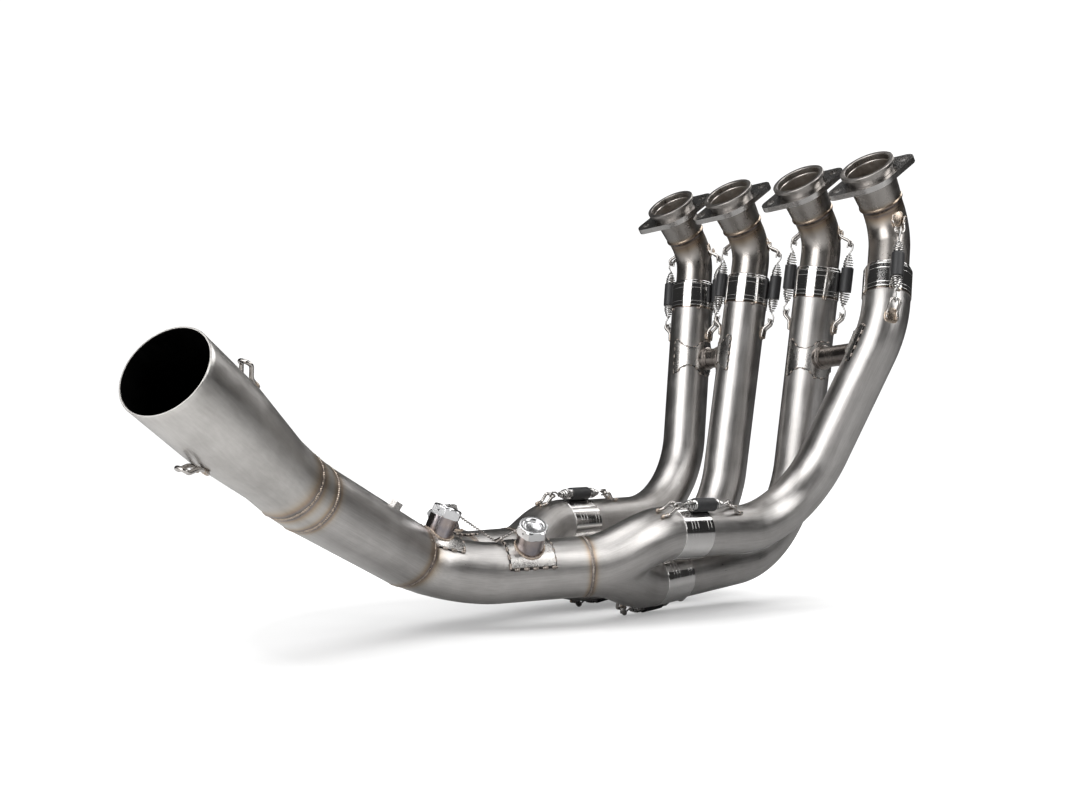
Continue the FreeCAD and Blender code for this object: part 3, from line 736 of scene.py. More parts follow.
def rubber():
    made = bpy.data.materials.new("damper_black")
    made.use_nodes = True
    tree = made.node_tree
    shader = tree.nodes["Principled BSDF"]
    place = node(tree, "ShaderNodeTexCoord").outputs["Object"]
    grain = node(tree, "ShaderNodeGroup", node_tree=GRAIN)
    tree.links.new(place, grain.inputs["Place"])
    grain.inputs["Fine"].default_value = 1500.0
    grain.inputs["Stretch"].default_value = 1.0
    tone = node(tree, "ShaderNodeMix", {
        0: grain.outputs["Grain"], 6: (0.012, 0.012, 0.013, 1), 7: (0.03, 0.03, 0.032, 1)},
        data_type="RGBA").outputs[2]
    tree.links.new(tone, shader.inputs["Base Color"])
    level = calc(tree, "ADD", calc(tree, "MULTIPLY", grain.outputs["Blotches"], 0.25), 0.38)
    tree.links.new(level, shader.inputs["Roughness"])
    relief = node(tree, "ShaderNodeBump", {
        "Strength": 0.2, "Distance": 0.0002, "Height": grain.outputs["Grain"]})
    tree.links.new(relief.outputs[0], shader.inputs["Normal"])
    return made


BRUSHED = metal("brushed_titanium", (0.60, 0.585, 0.57), (0.30, 0.285, 0.275), 0.35, bump=0.3)
HEAD = metal("head_titanium", (0.42, 0.395, 0.375), (0.32, 0.30, 0.28), 0.31, stretch=1.5, streak=0.3,
             bump=0.08)
POLISHED = metal("polished_titanium", (0.72, 0.71, 0.70), (0.60, 0.585, 0.57), 0.10, spread=0.03,
                 fine=1700.0, stretch=0.06, bump=0.04)
SATIN = metal("satin_titanium", (0.60, 0.585, 0.565), (0.32, 0.305, 0.29), 0.36, fine=500.0,
              stretch=6.0, blotch=24.0, streak=0.45, bump=0.12)
# Darker metal for the balance tubes and their collars.
TUBE_DARK = metal("darker_balance_metal", (0.36, 0.32, 0.29), (0.16, 0.145, 0.135), 0.26, object_space=True,
                  stretch=2.0, bump=0.1)
# Near-black painted shade: it lines the bores of the head stubs and tail tubes, and darkens the saddle and
# plate edge gaps and the lockwire holes.
PAINTED_SHADE = metal("painted_shade_black", (0.035, 0.033, 0.032), (0.012, 0.011, 0.011), 0.36, stretch=40.0)
# Lighter copy of the head pipe's titanium for the port ring's bore: painted light on the bore's far wall.
PAINTED_BORE_LIGHT = metal("port_bore_painted_light", (0.58, 0.545, 0.51), (0.42, 0.39, 0.36), 0.34, stretch=2.0, bump=0.05)
SHEET = metal("saddle_sheet", (0.60, 0.585, 0.565), (0.42, 0.40, 0.385), 0.27, stretch=2.0,
              object_space=True, streak=0.3)
WIRE = metal("bright_wire", (0.56, 0.535, 0.51), (0.30, 0.28, 0.265), 0.19, spread=0.06)
COIL = metal("spring_steel", (0.62, 0.61, 0.60), (0.34, 0.33, 0.32), 0.20, spread=0.06)
FLANGE = metal("machined_flange", (0.62, 0.605, 0.59), (0.48, 0.465, 0.45), 0.22, spread=0.05,
               stretch=1.0, object_space=True, streak=0.2, bump=0.02)
ALLOY = metal("plug_alloy", (0.76, 0.76, 0.765), (0.60, 0.60, 0.605), 0.24, spread=0.05, fine=900.0,
              bump=0.03)
NECK = metal("tinted_neck", (0.44, 0.37, 0.33), (0.20, 0.20, 0.235), 0.16, spread=0.05,
             object_space=True, blotch=90.0, streak=0.15)
WELD = metal("weld_metal", (0.42, 0.37, 0.33), (0.16, 0.14, 0.125), 0.22, fine=900.0, stretch=1.0,
             object_space=True, blotch=160.0, streak=0.3)
TAN_WELD = metal("tan_weld", (0.50, 0.42, 0.345), (0.30, 0.245, 0.20), 0.28, stretch=1.0,
                 object_space=True, blotch=120.0, streak=0.3)
RUBBER = rubber()

BENT_BAR = bent_bar_tree()
TENSION_SPRING = spring_tree()
WELD_BEAD = weld_tree()


# Pieces of the header
def bar(name, runs, radius, nodes, colour, wall=0.0, sides=96, steps=48, caps=False, lining=None):
    mesh = grown(BENT_BAR, polylines(runs), {
        "Radius": radius * MM, "Sides": sides, "Arc steps": steps, "Caps": caps, "Material": colour})
    return piece(name, mesh, nodes, wall=wall, colour=colour, lining=lining)


def rounded_profile(corners, steps=4):
    """Closed profile whose corners are eased by their own radius. Items are (s, r, easing)."""
    out = []
    count = len(corners)
    for k, (s, r, ease) in enumerate(corners):
        here = Vector((s, r))
        if not ease:
            out.append((s, r))
            continue
        before = Vector(corners[k - 1][:2]) - here
        after = Vector(corners[(k + 1) % count][:2]) - here
        first = here + before.normalized() * min(ease, before.length * 0.45)
        last = here + after.normalized() * min(ease, after.length * 0.45)
        for j in range(steps + 1):
            t = j / steps
            spot = first * (1 - t) ** 2 + here * 2 * t * (1 - t) + last * t ** 2
            out.append((spot.x, spot.y))
    return out


def head_pipe(i):
    """Ring lip, groove, cone and rolled bead of a head pipe, and its bent stub."""
    ring = rounded_profile([
        (0, 22.0, 0.8), (0, 26.35, 0.7), (3.6, 26.35, 0.5), (3.6, 22.5, 0.3), (17, 22.5, 3.0),
        (33.5, 21.2, 2.0), (38.5, 20.75, 0.8), (39.4, 21.4, 0.7), (40.6, 21.7, 0.7), (42.0, 21.3, 0.8),
        (43.2, 19.95, 0.8), (46, 19.8, 0.2), (46, 18.7, 0.2), (43, 18.55, 1.0), (17, 20.9, 2.0),
        (6.5, 21.6, 0.6), (6.0, 22.0, 0.3)])
    foot = next(k for k, (s, _) in enumerate(ring) if s > 45.9)
    # The ring's bore takes a lighter copy of the head titanium: painted light.
    made = piece("head_ring_%d" % (i + 1),
                 turned(ring, V(PORT_X[i], 0, 0), PORT_IN, V(1, 0, 0), 144, inner_from=foot),
                 ["port_ring_%d" % (i + 1)], colour=HEAD, lining=PAINTED_BORE_LIGHT)
    heated(made, [(V(PORT_X[i], 0, 0) + PORT_IN * 42, PORT_IN, 4.0)])
    # The stub's bore is lined with near-black painted shade.
    stub = bar("head_stub_%d" % (i + 1), [head_corners(i)], STUB_R, ["head_pipe_%d" % (i + 1)],
               HEAD, wall=WALL, lining=PAINTED_SHADE)
    heated(stub, [(V(PORT_X[i], 0, 0) + PORT_IN * 42, PORT_IN, 9.0),
                  (sleeve_top(i), first_direction(i), 5.0)])


def grooves(places, radius, deep=0.1):
    """Fine turned lines. Points close beside each line keep the smooth bands between them flat."""
    profile = []
    for s in places:
        profile += [(s - 0.4, radius, 0), (s - 0.12, radius, 0), (s, radius - deep, 0),
                    (s + 0.12, radius, 0), (s + 0.4, radius, 0)]
    return profile


def slip_sleeve(i):
    """Machined sleeve with a rolled lip and fine grooves, with weld heat at its lower edge. Its four weld
    spots are laid by ring_welds.
    """
    profile = [(0, 20.2, 0.3), (0, 21.4, 0.5), (0.9, 22.0, 0.6), (2.6, 22.0, 0.3), (3.1, 22.9, 0.4),
               (3.4, 23.2, 0.3)]
    profile += grooves((4.6, 9.5, 24.5, 28.6), 23.2)
    profile += [(31.3, 23.2, 0), (31.6, 23.2, 0.3), (32, 22.9, 0.2), (32, 18.6, 0), (26, 18.6, 0),
                (26, 20.2, 0)]
    made = piece("slip_sleeve_%d_looks" % (i + 1),
                 turned(rounded_profile(profile), sleeve_top(i), first_direction(i), V(1, 0, 0), 144),
                 ["slip_sleeve_%d" % (i + 1)], sharp=60, colour=POLISHED)
    heated(made, [(along(sleeve_top(i), first_direction(i), 32), first_direction(i), 1.6)])


def primary(i):
    bar("primary_pipe_%d_looks" % (i + 1), [primary_corners(i)], PRIMARY_R,
        ["primary_pipe_%d" % (i + 1)], BRUSHED, wall=WALL)


def lower_sleeve(i):
    heading = lower_direction(i)
    start = along(LOWER_JOINT[i], heading, -LOWER_LENGTH / 2)
    profile = [(0, 22.55, 0.2), (0, 23.2, 0.3), (0.8, 24.0, 0.5), (1.6, 24.0, 0)]
    profile += grooves((5.0, 9.0, 22.0, 26.0, 30.0), 24.0, 0.14)
    profile += [(LOWER_LENGTH - 1.2, 24.0, 0), (LOWER_LENGTH - 0.5, 24.0, 0.3),
                (LOWER_LENGTH, 23.6, 0.2), (LOWER_LENGTH, 22.55, 0)]
    piece("lower_sleeve_%d_looks" % (i + 1),
          turned(rounded_profile(profile), start, heading, V(0, 0, 1), 144),
          ["lower_sleeve_%d" % (i + 1)], sharp=60, colour=POLISHED)


def branch_tube(i, ring, ring_dir, margin=8.0):
    heading = lower_direction(i)
    start = along(LOWER_JOINT[i], heading, LOWER_LENGTH / 2)
    path = hermite(start, heading, ring, ring_dir)
    inlet = LOWER_SLEEVE_R - INLET_STEP
    radii = [inlet + (SECONDARY_R - inlet) * k / (len(path) - 1) for k in range(len(path))]
    path = [start - heading * margin] + path + [ring + ring_dir * margin]
    return path, [radii[0]] + radii + [radii[-1]]


def collector(name, upper, lower, ring, ring_dir):
    tubes = [branch_tube(upper, ring, ring_dir), branch_tube(lower, ring, ring_dir)]
    ends = [(ring, ring_dir)]
    for i in (upper, lower):
        ends.append((along(LOWER_JOINT[i], lower_direction(i), LOWER_LENGTH / 2 - 1), -lower_direction(i)))
    made = piece(name + "_looks", blended(tubes, ends), [name], wall=WALL,
                 colour=BRUSHED)
    heated(made, [(ring, ring_dir, 3.5)])


def near_centreline():
    knee = along(RING_NEAR, LEG_NEAR_DIR, LEG_NEAR_RUN)
    return hermite(knee, LEG_NEAR_DIR, TAIL_FACE, TAIL_DIR)


def merge_pipe():
    """Near secondary pipe that runs into the merge bend, with the far one blended into it."""
    bend = near_centreline()
    near = [RING_NEAR - LEG_NEAR_DIR * 8, RING_NEAR] + bend + [TAIL_FACE + TAIL_DIR * 15]
    place = bend[int(round(MERGE_SHARE * (len(bend) - 1)))]
    start = along(RING_FAR, LEG_FAR_DIR, LEG_FAR_RUN)
    turn = (LEG_FAR_DIR * 0.6 + (place - start).normalized() * 0.9).normalized()
    far = [start - LEG_FAR_DIR * 8] + hermite(start, LEG_FAR_DIR, place, turn)
    tubes = [(near, [MERGE_R] * len(near)), (far, [SECONDARY_R] * len(far))]
    ends = [(RING_NEAR, -LEG_NEAR_DIR), (start, -LEG_FAR_DIR), (TAIL_FACE + TAIL_DIR * 7, TAIL_DIR)]
    made = piece("merge_pipe_looks", blended(tubes, ends), ["merge_pipe"], wall=WALL,
                 colour=BRUSHED)
    heated(made, [(RING_NEAR, LEG_NEAR_DIR, 3.5), (TAIL_FACE, TAIL_DIR, 6.0),
                  (start, LEG_FAR_DIR, 5.0)])


def secondary_pipe():
    end = along(RING_FAR, LEG_FAR_DIR, LEG_FAR_RUN)
    made = bar("secondary_pipe_far_looks", [[(RING_FAR.lerp(end, k / 20), 0) for k in range(21)]],
               SECONDARY_R, ["secondary_pipe_far"], BRUSHED, wall=WALL)
    heated(made, [(RING_FAR, LEG_FAR_DIR, 4.0)])


def steps(a, b, count):
    return [a + (b - a) * k / count for k in range(count + 1)]


def shell(name, centre, axis, outer, inner, planes, nodes, colour, sides=144):
    """Turned tube with an outer and an inner line of (distance, radius), trimmed by planes."""
    mesh = turned(outer + inner[::-1], centre, axis, V(1, 0, 0), sides, planes, inner_from=len(outer))
    # The inner side is lined with near-black painted shade.
    return piece(name, mesh, nodes, colour=colour, lining=PAINTED_SHADE)


def tail():
    run = (COLLAR_START - TAIL_FACE).length
    outer = [(0, MERGE_R)] + [(s, TAIL_R) for s in steps(0, run + 8, 30)]
    inner = [(s, MERGE_R) for s in steps(0, run + 8, 30)]
    made = shell("tail_pipe_looks", TAIL_FACE, TAIL_DIR, outer, inner,
                 [(COLLAR_START, FIRST_MITRE, -1)], ["tail_pipe"], BRUSHED)
    heated(made, [(TAIL_FACE, TAIL_DIR, 6.0), (COLLAR_START, FIRST_MITRE, 4.5)])
    run = (COLLAR_END - COLLAR_START).length
    line = steps(-8, run + 8, 16)
    made = shell("tail_collar_looks", COLLAR_START, COLLAR_DIR, [(s, TAIL_R) for s in line],
                 [(s, MERGE_R) for s in line],
                 [(COLLAR_START, FIRST_MITRE, 1), (COLLAR_END, SECOND_MITRE, -1)], ["tail_collar"],
                 SATIN)
    heated(made, [(COLLAR_START, FIRST_MITRE, 5.0), (COLLAR_END, SECOND_MITRE, 6.0)])
    length = (OUTLET - TAIL_BEND).length
    outer = [(s, TAIL_R) for s in steps(0, CONE_START - 3, 8)]
    outer += [(CONE_START - 3 + 6 * t, TAIL_R + (3 * t * t) * 0.0847) for t in steps(0, 1, 6)]
    slope = (MEGAPHONE_R - TAIL_R) / (CONE_END - CONE_START)
    outer += [(s, TAIL_R + slope * (s - CONE_START)) for s in steps(CONE_START + 4, CONE_END - 4, 16)]
    outer += [(s, MEGAPHONE_R) for s in steps(CONE_END, length - 0.4, 14)]
    outer += [(length, MEGAPHONE_R - 0.3)]
    inner = [(0, MERGE_R), (CONE_START, MERGE_R), (CONE_END, MEGAPHONE_R - OUTLET_WALL),
             (length - 0.3, MEGAPHONE_R - OUTLET_WALL), (length, MEGAPHONE_R - OUTLET_WALL + 0.3)]
    made = shell("megaphone_looks", TAIL_BEND, MEGAPHONE_DIR, outer, inner,
                 [(COLLAR_END, SECOND_MITRE, 1)], ["megaphone"], SATIN)
    heated(made, [(COLLAR_END, SECOND_MITRE, 8.0)])


def upper_sites():
    """Pipe, axis, outward direction and both eyes of every spring at the port end."""
    sites = []
    for i in range(4):
        middle = along(sleeve_top(i), first_direction(i), SLEEVE_LENGTH / 2)
        for half_turn in (0, 180):
            angle = math.radians(SPRING_TURN[i] + half_turn)
            axis, radial, _ = frame_of(first_direction(i), V(math.cos(angle), math.sin(angle), 0))
            base = middle + radial * SPRING_STAND
            sites.append((i, axis, radial, base - axis * UPPER_EYES[0], base + axis * UPPER_EYES[1]))
    return sites


def lower_sites():
    sites = []
    for i in range(4):
        axis, radial, _ = frame_of(lower_direction(i), V(0, 0, 1))
        radial = Quaternion(axis, math.radians(LOWER_TURN[i])) @ radial
        base = LOWER_JOINT[i] + radial * (SPRING_STAND + LOWER_SLEEVE_R - SLEEVE_R)
        sites.append((i, axis, radial, base - axis * LOWER_EYES[i][0], base + axis * LOWER_EYES[i][1]))
    return sites


def bracket_run(eye, axis, radial, path, surface, legs):
    """Corners of a twin-leg wire bracket: two legs on the pipe and a round eye over it."""
    side = axis.cross(radial)
    run = axis * legs

    def on_wall(distance, lift):
        above = eye + run * distance
        centre = nearest(path, above)
        return along(centre, above - centre, surface + lift)

    foot = on_wall(BRACKET_REACH + BRACKET_FOOT, 0.7)
    knee = on_wall(BRACKET_REACH - 5.5, 1.2)
    rise = eye + run * 3.5
    right = [(foot + side * BAR_HALF, 0), (knee + side * BAR_HALF, 6),
             (rise + side * BAR_HALF, 4), (eye - run * 0.6 + side * BAR_HALF * 0.9, 3.8)]
    left = [(p - side * 2 * (p - eye).dot(side), bend) for p, bend in reversed(right)]
    return right + left


def foot_runs(runs):
    """The stretch of each leg that is welded to its pipe."""
    out = []
    for run in runs:
        for first, second in ((run[0][0], run[1][0]), (run[-1][0], run[-2][0])):
            out.append([(first, 0), (along(first, second - first, 5.0), 0)])
    return out


def weld_pads(sites):
    """Oval pad under the feet of each bracket. A site is a bracket's corners and its pipe's centreline."""
    meshes = bmesh.new()
    for run, path in sites:
        foot = (run[0][0] + run[-1][0]) / 2
        knee = (run[1][0] + run[-2][0]) / 2
        spot = foot.lerp(knee, 0.35)
        centre = nearest(path, spot)
        out = (spot - centre).normalized()
        axis, _, side = frame_of(knee - foot, out)
        place = Matrix([axis, side, out]).transposed().to_4x4()
        place.translation = spot * MM - out * 1.4 * MM
        size = Matrix.Diagonal((0.0082, 0.0074, 0.0014, 1))
        bmesh.ops.create_uvsphere(meshes, u_segments=32, v_segments=12, radius=1, matrix=place @ size)
    mesh = bpy.data.meshes.new("pads")
    meshes.to_mesh(mesh)
    meshes.free()
    piece("bracket_pads", mesh, [], sharp=80, colour=TAN_WELD)


def springs(name, sites, nodes):
    runs = [[(first, 0), (second, 0)] for _, _, _, first, second in sites]
    mesh = grown(TENSION_SPRING, polylines(runs), {
        "Coil radius": (COIL_R - COIL_WIRE_R) * MM, "Tip radius": (COIL_TIP_R - COIL_WIRE_R - 0.6) * MM,
        "Taper": COIL_TAPER * MM, "End gap": COIL_GAP * MM, "Pitch": COIL_PITCH * MM,
        "Wire radius": COIL_WIRE_R * MM, "Material": COIL})
    piece(name + "_coils", mesh, nodes, colour=COIL)
    hooks = []
    for _, _, radial, first, second in sites:
        axis = (second - first).normalized()
        for eye, way in ((first, axis), (second, -axis)):
            side = axis.cross(radial)
            turn_r = BAR_R + HOOK_R
            hooks.append([
                (eye + way * (COIL_GAP + 0.6) + side * 1.6, 0), (eye + way * (COIL_GAP - 1.2), 1.2),
                (eye + radial * turn_r + way * 4.5, 2.5), (eye + radial * turn_r * 1.02 - way * 1.2, 1.6),
                (eye - way * (turn_r + 0.5) - radial * 0.6, 1.6), (eye - radial * turn_r * 1.1, 1.4),
                (eye - radial * (turn_r + 0.2) + way * 3.0, 0)])
    bar(name + "_hooks", hooks, HOOK_R * 0.85, nodes, COIL, sides=12, steps=6, caps=True)


def dampers(name, sites, nodes):
    meshes = bmesh.new()
    for _, _, radial, first, second in sites:
        axis = (second - first).normalized()
        start = (first + second) / 2 - axis * DAMPER_LENGTH / 2
        bore = COIL_R + 0.05
        profile = rounded_profile([
            (0, bore, 0.2), (0, DAMPER_R - 0.1, 0.6), (DAMPER_LENGTH / 2, DAMPER_R, 6.0),
            (DAMPER_LENGTH, DAMPER_R - 0.1, 0.6), (DAMPER_LENGTH, bore, 0.2)])
        meshes.from_mesh(turned(profile, start, axis, radial, 40))
    mesh = bpy.data.meshes.new(name)
    meshes.to_mesh(mesh)
    meshes.free()
    piece(name + "_looks", mesh, nodes, colour=RUBBER)


def spring_sets():
    upper = upper_sites()
    lower = lower_sites()
    springs("upper_springs", upper, ["upper_springs"])
    springs("lower_springs", lower, ["lower_springs"])
    dampers("upper_dampers", upper, ["upper_dampers"])
    dampers("lower_dampers", lower, ["lower_dampers"])
    head_side = []
    pipe_side = []
    for i, axis, radial, first, second in upper:
        head_side.append(bracket_run(first, axis, radial, rounded(head_corners(i)), STUB_R, -1))
        pipe_side.append(bracket_run(second, axis, radial, rounded(primary_corners(i)), PRIMARY_R, 1))
    weld_pads([(run, rounded(head_corners(i))) for run, (i, *_) in zip(head_side, upper)]
              + [(run, rounded(primary_corners(i))) for run, (i, *_) in zip(pipe_side, upper)])
    weld_line("upper_bracket_welds", foot_runs(head_side + pipe_side), 1.7, 1.0, TAN_WELD)
    bar("head_brackets_looks", head_side, BAR_R, ["head_brackets"], WIRE, sides=16,
        steps=8, caps=True)
    bar("primary_brackets_looks", pipe_side, BAR_R, ["primary_brackets"], WIRE, sides=16,
        steps=8, caps=True)
    pipe_side = []
    inlet_side = []
    for i, axis, radial, first, second in lower:
        ring, ring_dir = (RING_FAR, LEG_FAR_DIR) if i < 2 else (RING_NEAR, LEG_NEAR_DIR)
        path, _ = branch_tube(i, ring, ring_dir)
        pipe_side.append(bracket_run(first, axis, radial, rounded(primary_corners(i)), PRIMARY_R, -1))
        inlet_side.append(bracket_run(second, axis, radial, path, SECONDARY_R - 0.6, 1))
    weld_line("lower_bracket_welds", foot_runs(pipe_side + inlet_side), 1.7, 1.0, TAN_WELD)
    bar("lower_pipe_brackets_looks", pipe_side, BAR_R, ["lower_pipe_brackets"], WIRE,
        sides=16, steps=8, caps=True)
    bar("collector_brackets_looks", inlet_side, BAR_R, ["collector_brackets"], WIRE,
        sides=16, steps=8, caps=True)


def weld_line(name, runs, drop, spacing, colour, period=1, filled=1, uneven=0.15, seed=3):
    """Weld metal along runs on a surface, whole or as stitches."""
    mesh = grown(WELD_BEAD, polylines(runs), {
        "Drop radius": drop * MM, "Spacing": spacing * MM, "Long": 0.8, "High": 0.9, "Uneven": uneven,
        "Period": float(period), "Filled": float(filled), "Seed": seed, "Material": colour})
    return piece(name, mesh, [], sharp=80, colour=colour)


def seam(centre, axis, normal, radius, count=72):
    """Closed run where a plane cuts a round tube."""
    main, radial, side = frame_of(axis, V(1, 0, 0))
    run = []
    for k in range(count + 1):
        angle = 2 * math.pi * k / count
        out = (radial * math.cos(angle) + side * math.sin(angle)) * radius
        run.append((centre + out - main * (out.dot(normal) / main.dot(normal)), 0))
    return run


def ring_welds():
    """Weld beads around the joints of the large tubes."""
    weld_line("collar_welds", [
        seam(COLLAR_START, COLLAR_DIR, FIRST_MITRE, TAIL_R - 1.3),
        seam(COLLAR_END, COLLAR_DIR, SECOND_MITRE, TAIL_R - 1.3)], 2.0, 1.5, TAN_WELD, seed=5)
    weld_line("tail_weld", [seam(TAIL_FACE, TAIL_DIR, TAIL_DIR, TAIL_R - 1.0)], 1.5, 1.2, TAN_WELD)
    start = along(RING_FAR, LEG_FAR_DIR, LEG_FAR_RUN)
    weld_line("ring_welds", [
        seam(RING_NEAR, LEG_NEAR_DIR, LEG_NEAR_DIR, MERGE_R - 0.7),
        seam(RING_FAR, LEG_FAR_DIR, LEG_FAR_DIR, SECONDARY_R - 0.7),
        seam(start, LEG_FAR_DIR, LEG_FAR_DIR, SECONDARY_R - 0.7)], 1.3, 1.0, WELD, seed=7)
    dots = []
    for i in range(4):
        axis, radial, _ = frame_of(first_direction(i), V(1, 0, 0))
        edge = along(sleeve_top(i), axis, SLEEVE_LENGTH + 0.4)
        for turn in (35, 125, 215, 305):
            out = Quaternion(axis, math.radians(turn)) @ radial
            across = axis.cross(out)
            spot = edge + out * (PRIMARY_R + 0.1)
            dots.append([(spot - across * 1.2, 0), (spot + across * 1.2, 0)])
    weld_line("sleeve_welds", dots, 1.5, 1.0, WELD)


def balance_spot(i):
    """Where a balance tube meets a primary pipe, and the pipe's direction there."""
    pair = i // 2
    height = along(port_corner(2 * pair), first_direction(2 * pair), BALANCE_BELOW[pair]).z
    path = rounded(primary_corners(i))
    for a, b in zip(path, path[1:]):
        if a.z >= height > b.z:
            return a.lerp(b, (a.z - height) / (a.z - b.z)), (b - a).normalized()


def saddle_edges(i):
    """Scalloped upper and lower edge and both side edges of a saddle, just over its skin."""
    here, heading = balance_spot(i)
    there, _ = balance_spot(i + 1 if i % 2 == 0 else i - 1)
    axis, radial, _ = frame_of(heading, there - here)
    path = rounded(primary_corners(i))

    def on_skin(turn, shift):
        out = Quaternion(axis, math.radians(turn)) @ radial
        spot = here + axis * shift + out * PRIMARY_R
        centre = nearest(path, spot)
        return along(centre, spot - centre, PRIMARY_R + 0.35), 0

    def edge_shift(turn):
        across = (PRIMARY_R + SADDLE_THICK) * math.sin(math.radians(abs(turn) - SCALLOP_AT))
        depth = SCALLOP_R ** 2 - across ** 2
        return min(SADDLE_HALF, SCALLOP_CENTRE - math.sqrt(depth)) if depth > 0 else SADDLE_HALF

    turns = [SADDLE_WRAP * (k / 32 - 1) for k in range(65)]
    edges = [[on_skin(turn, way * (edge_shift(turn) + 0.3)) for turn in turns] for way in (-1, 1)]
    for turn in (-SADDLE_WRAP - 1, SADDLE_WRAP + 1):
        edges.append([on_skin(turn, shift) for shift in steps(-SADDLE_HALF, SADDLE_HALF, 12)])
    return edges


def saddle_seams():
    runs = []
    for i in range(4):
        runs += saddle_edges(i)
    # A thin near-black bar along every saddle edge is painted shade in the gap between sheet and pipe.
    bar("saddle_edge_shade", runs, 0.55, [], PAINTED_SHADE, sides=6, caps=True)
    weld_line("saddle_stitches", runs, 1.35, 1.1, WELD, period=7, filled=3, seed=11)
    rings = []
    for left in (0, 2):
        start, _ = balance_spot(left)
        end, _ = balance_spot(left + 1)
        way = (end - start).normalized()
        reach = PRIMARY_R + SADDLE_THICK
        for spot in (along(start, way, reach), along(end, -way, reach)):
            rings.append(seam(spot, way, way, BALANCE_R + 0.2, 36))
    weld_line("balance_welds", rings, 1.6, 1.2, WELD, seed=13)


def bung_sites():
    """Centre, pipe direction, outward direction, pipe centreline and pipe radius of each bung."""
    bend = near_centreline()
    start = along(RING_FAR, LEG_FAR_DIR, LEG_FAR_RUN)
    place = bend[int(round(MERGE_SHARE * (len(bend) - 1)))]
    turn = (LEG_FAR_DIR * 0.6 + (place - start).normalized() * 0.9).normalized()
    far = hermite(start, LEG_FAR_DIR, place, turn)
    near = [RING_NEAR] + bend
    k = int(round(0.72 * 60))
    j = int(round(0.15 * 60))
    return [
        (along(RING_NEAR, LEG_NEAR_DIR, NEAR_BUNG_AT), LEG_NEAR_DIR, BUNG_OUT[0], near, MERGE_R),
        (bend[k], bend[k + 1] - bend[k - 1], BUNG_OUT[1], near, MERGE_R),
        (far[j], far[j + 1] - far[j - 1], BUNG_OUT[2], far, SECONDARY_R)]


def plate_seams():
    """Painted shade as a thin dark bar along the gap around each plate, stitches around each plate, and the
    weld around the foot of each neck.
    """
    edges = []
    feet = []
    for centre, heading, hint, path, radius in bung_sites():
        axis, out, side = frame_of(heading, hint)

        def on_skin(x, y, lift=0.5):
            above = centre + axis * x + side * y + out * math.sqrt(radius ** 2 - y ** 2)
            near = nearest(path, above)
            return along(near, above - near, radius + lift), 0

        half = PLATE_ALONG / 2 + 0.3
        wide = PLATE_ACROSS / 2 + 0.3
        corners = [(-half, -wide), (half, -wide), (half, wide), (-half, wide), (-half, -wide)]
        run = []
        for (xa, ya), (xb, yb) in zip(corners, corners[1:]):
            run += [on_skin(xa + (xb - xa) * t, ya + (yb - ya) * t) for t in steps(0, 1, 14)[:-1]]
        edges.append(run + run[:1])
        turns = [2 * math.pi * t / 40 for t in range(41)]
        feet.append([on_skin(12.2 * math.cos(a), 12.2 * math.sin(a), SADDLE_THICK) for a in turns])
    # A thin near-black bar along each plate edge is painted shade in the gap under the plate.
    bar("plate_edge_shade", edges, 0.7, [], PAINTED_SHADE, sides=6, caps=True)
    weld_line("plate_stitches", edges, 1.4, 1.0, WELD, period=8, filled=4, seed=17)
    weld_line("neck_welds", feet, 1.2, 0.9, TAN_WELD, seed=19)


def plugs():
    """Hexagonal plugs with an eased crown and a dished top. The lockwire hole in three flats is a dark rod
    sunk into the flat: painted shade, not a cut hole.
    """
    corner = PLUG_FLATS / 2 / math.cos(math.pi / 6)
    apothem = PLUG_FLATS / 2

    def hexagon(r, angle):
        turn = (angle + math.pi / 6) % (math.pi / 3) - math.pi / 6
        return min(r, apothem / math.cos(math.pi / 6 - abs(turn)))

    meshes = bmesh.new()
    hole_shades = []
    for centre, heading, hint, _, radius in bung_sites():
        axis, out, _ = frame_of(heading, hint)
        seat = along(centre, out, radius + BUNG_HEIGHT)
        profile = rounded_profile([
            (0, 0.01, 0), (0, corner - 0.8, 0.2), (0.8, corner, 0.2), (PLUG_HEIGHT - 1.1, corner, 0.3),
            (PLUG_HEIGHT, corner - 2.2, 0.3), (PLUG_HEIGHT, 8.6, 0.5), (PLUG_HEIGHT - 0.9, 7.3, 0.8),
            (PLUG_HEIGHT - 2.6, 6.6, 0.9), (PLUG_HEIGHT - 3.0, 0.01, 0)])
        meshes.from_mesh(turned(profile, seat, out, axis, 96, shape=hexagon))
        for turn in (30, 150, 270):
            face = Quaternion(out, math.radians(turn)) @ axis
            spot = along(seat, out, PLUG_HEIGHT / 2) + face * apothem
            hole_shades.append([(spot - face * 0.6, 0), (spot + face * 0.04, 0)])
    mesh = bpy.data.meshes.new("plugs")
    meshes.to_mesh(mesh)
    meshes.free()
    piece("bung_plugs_looks", mesh, ["bung_plugs"], sharp=25, colour=ALLOY)
    bar("plug_hole_shade", hole_shades, 0.8, [], PAINTED_SHADE, sides=16, caps=True)


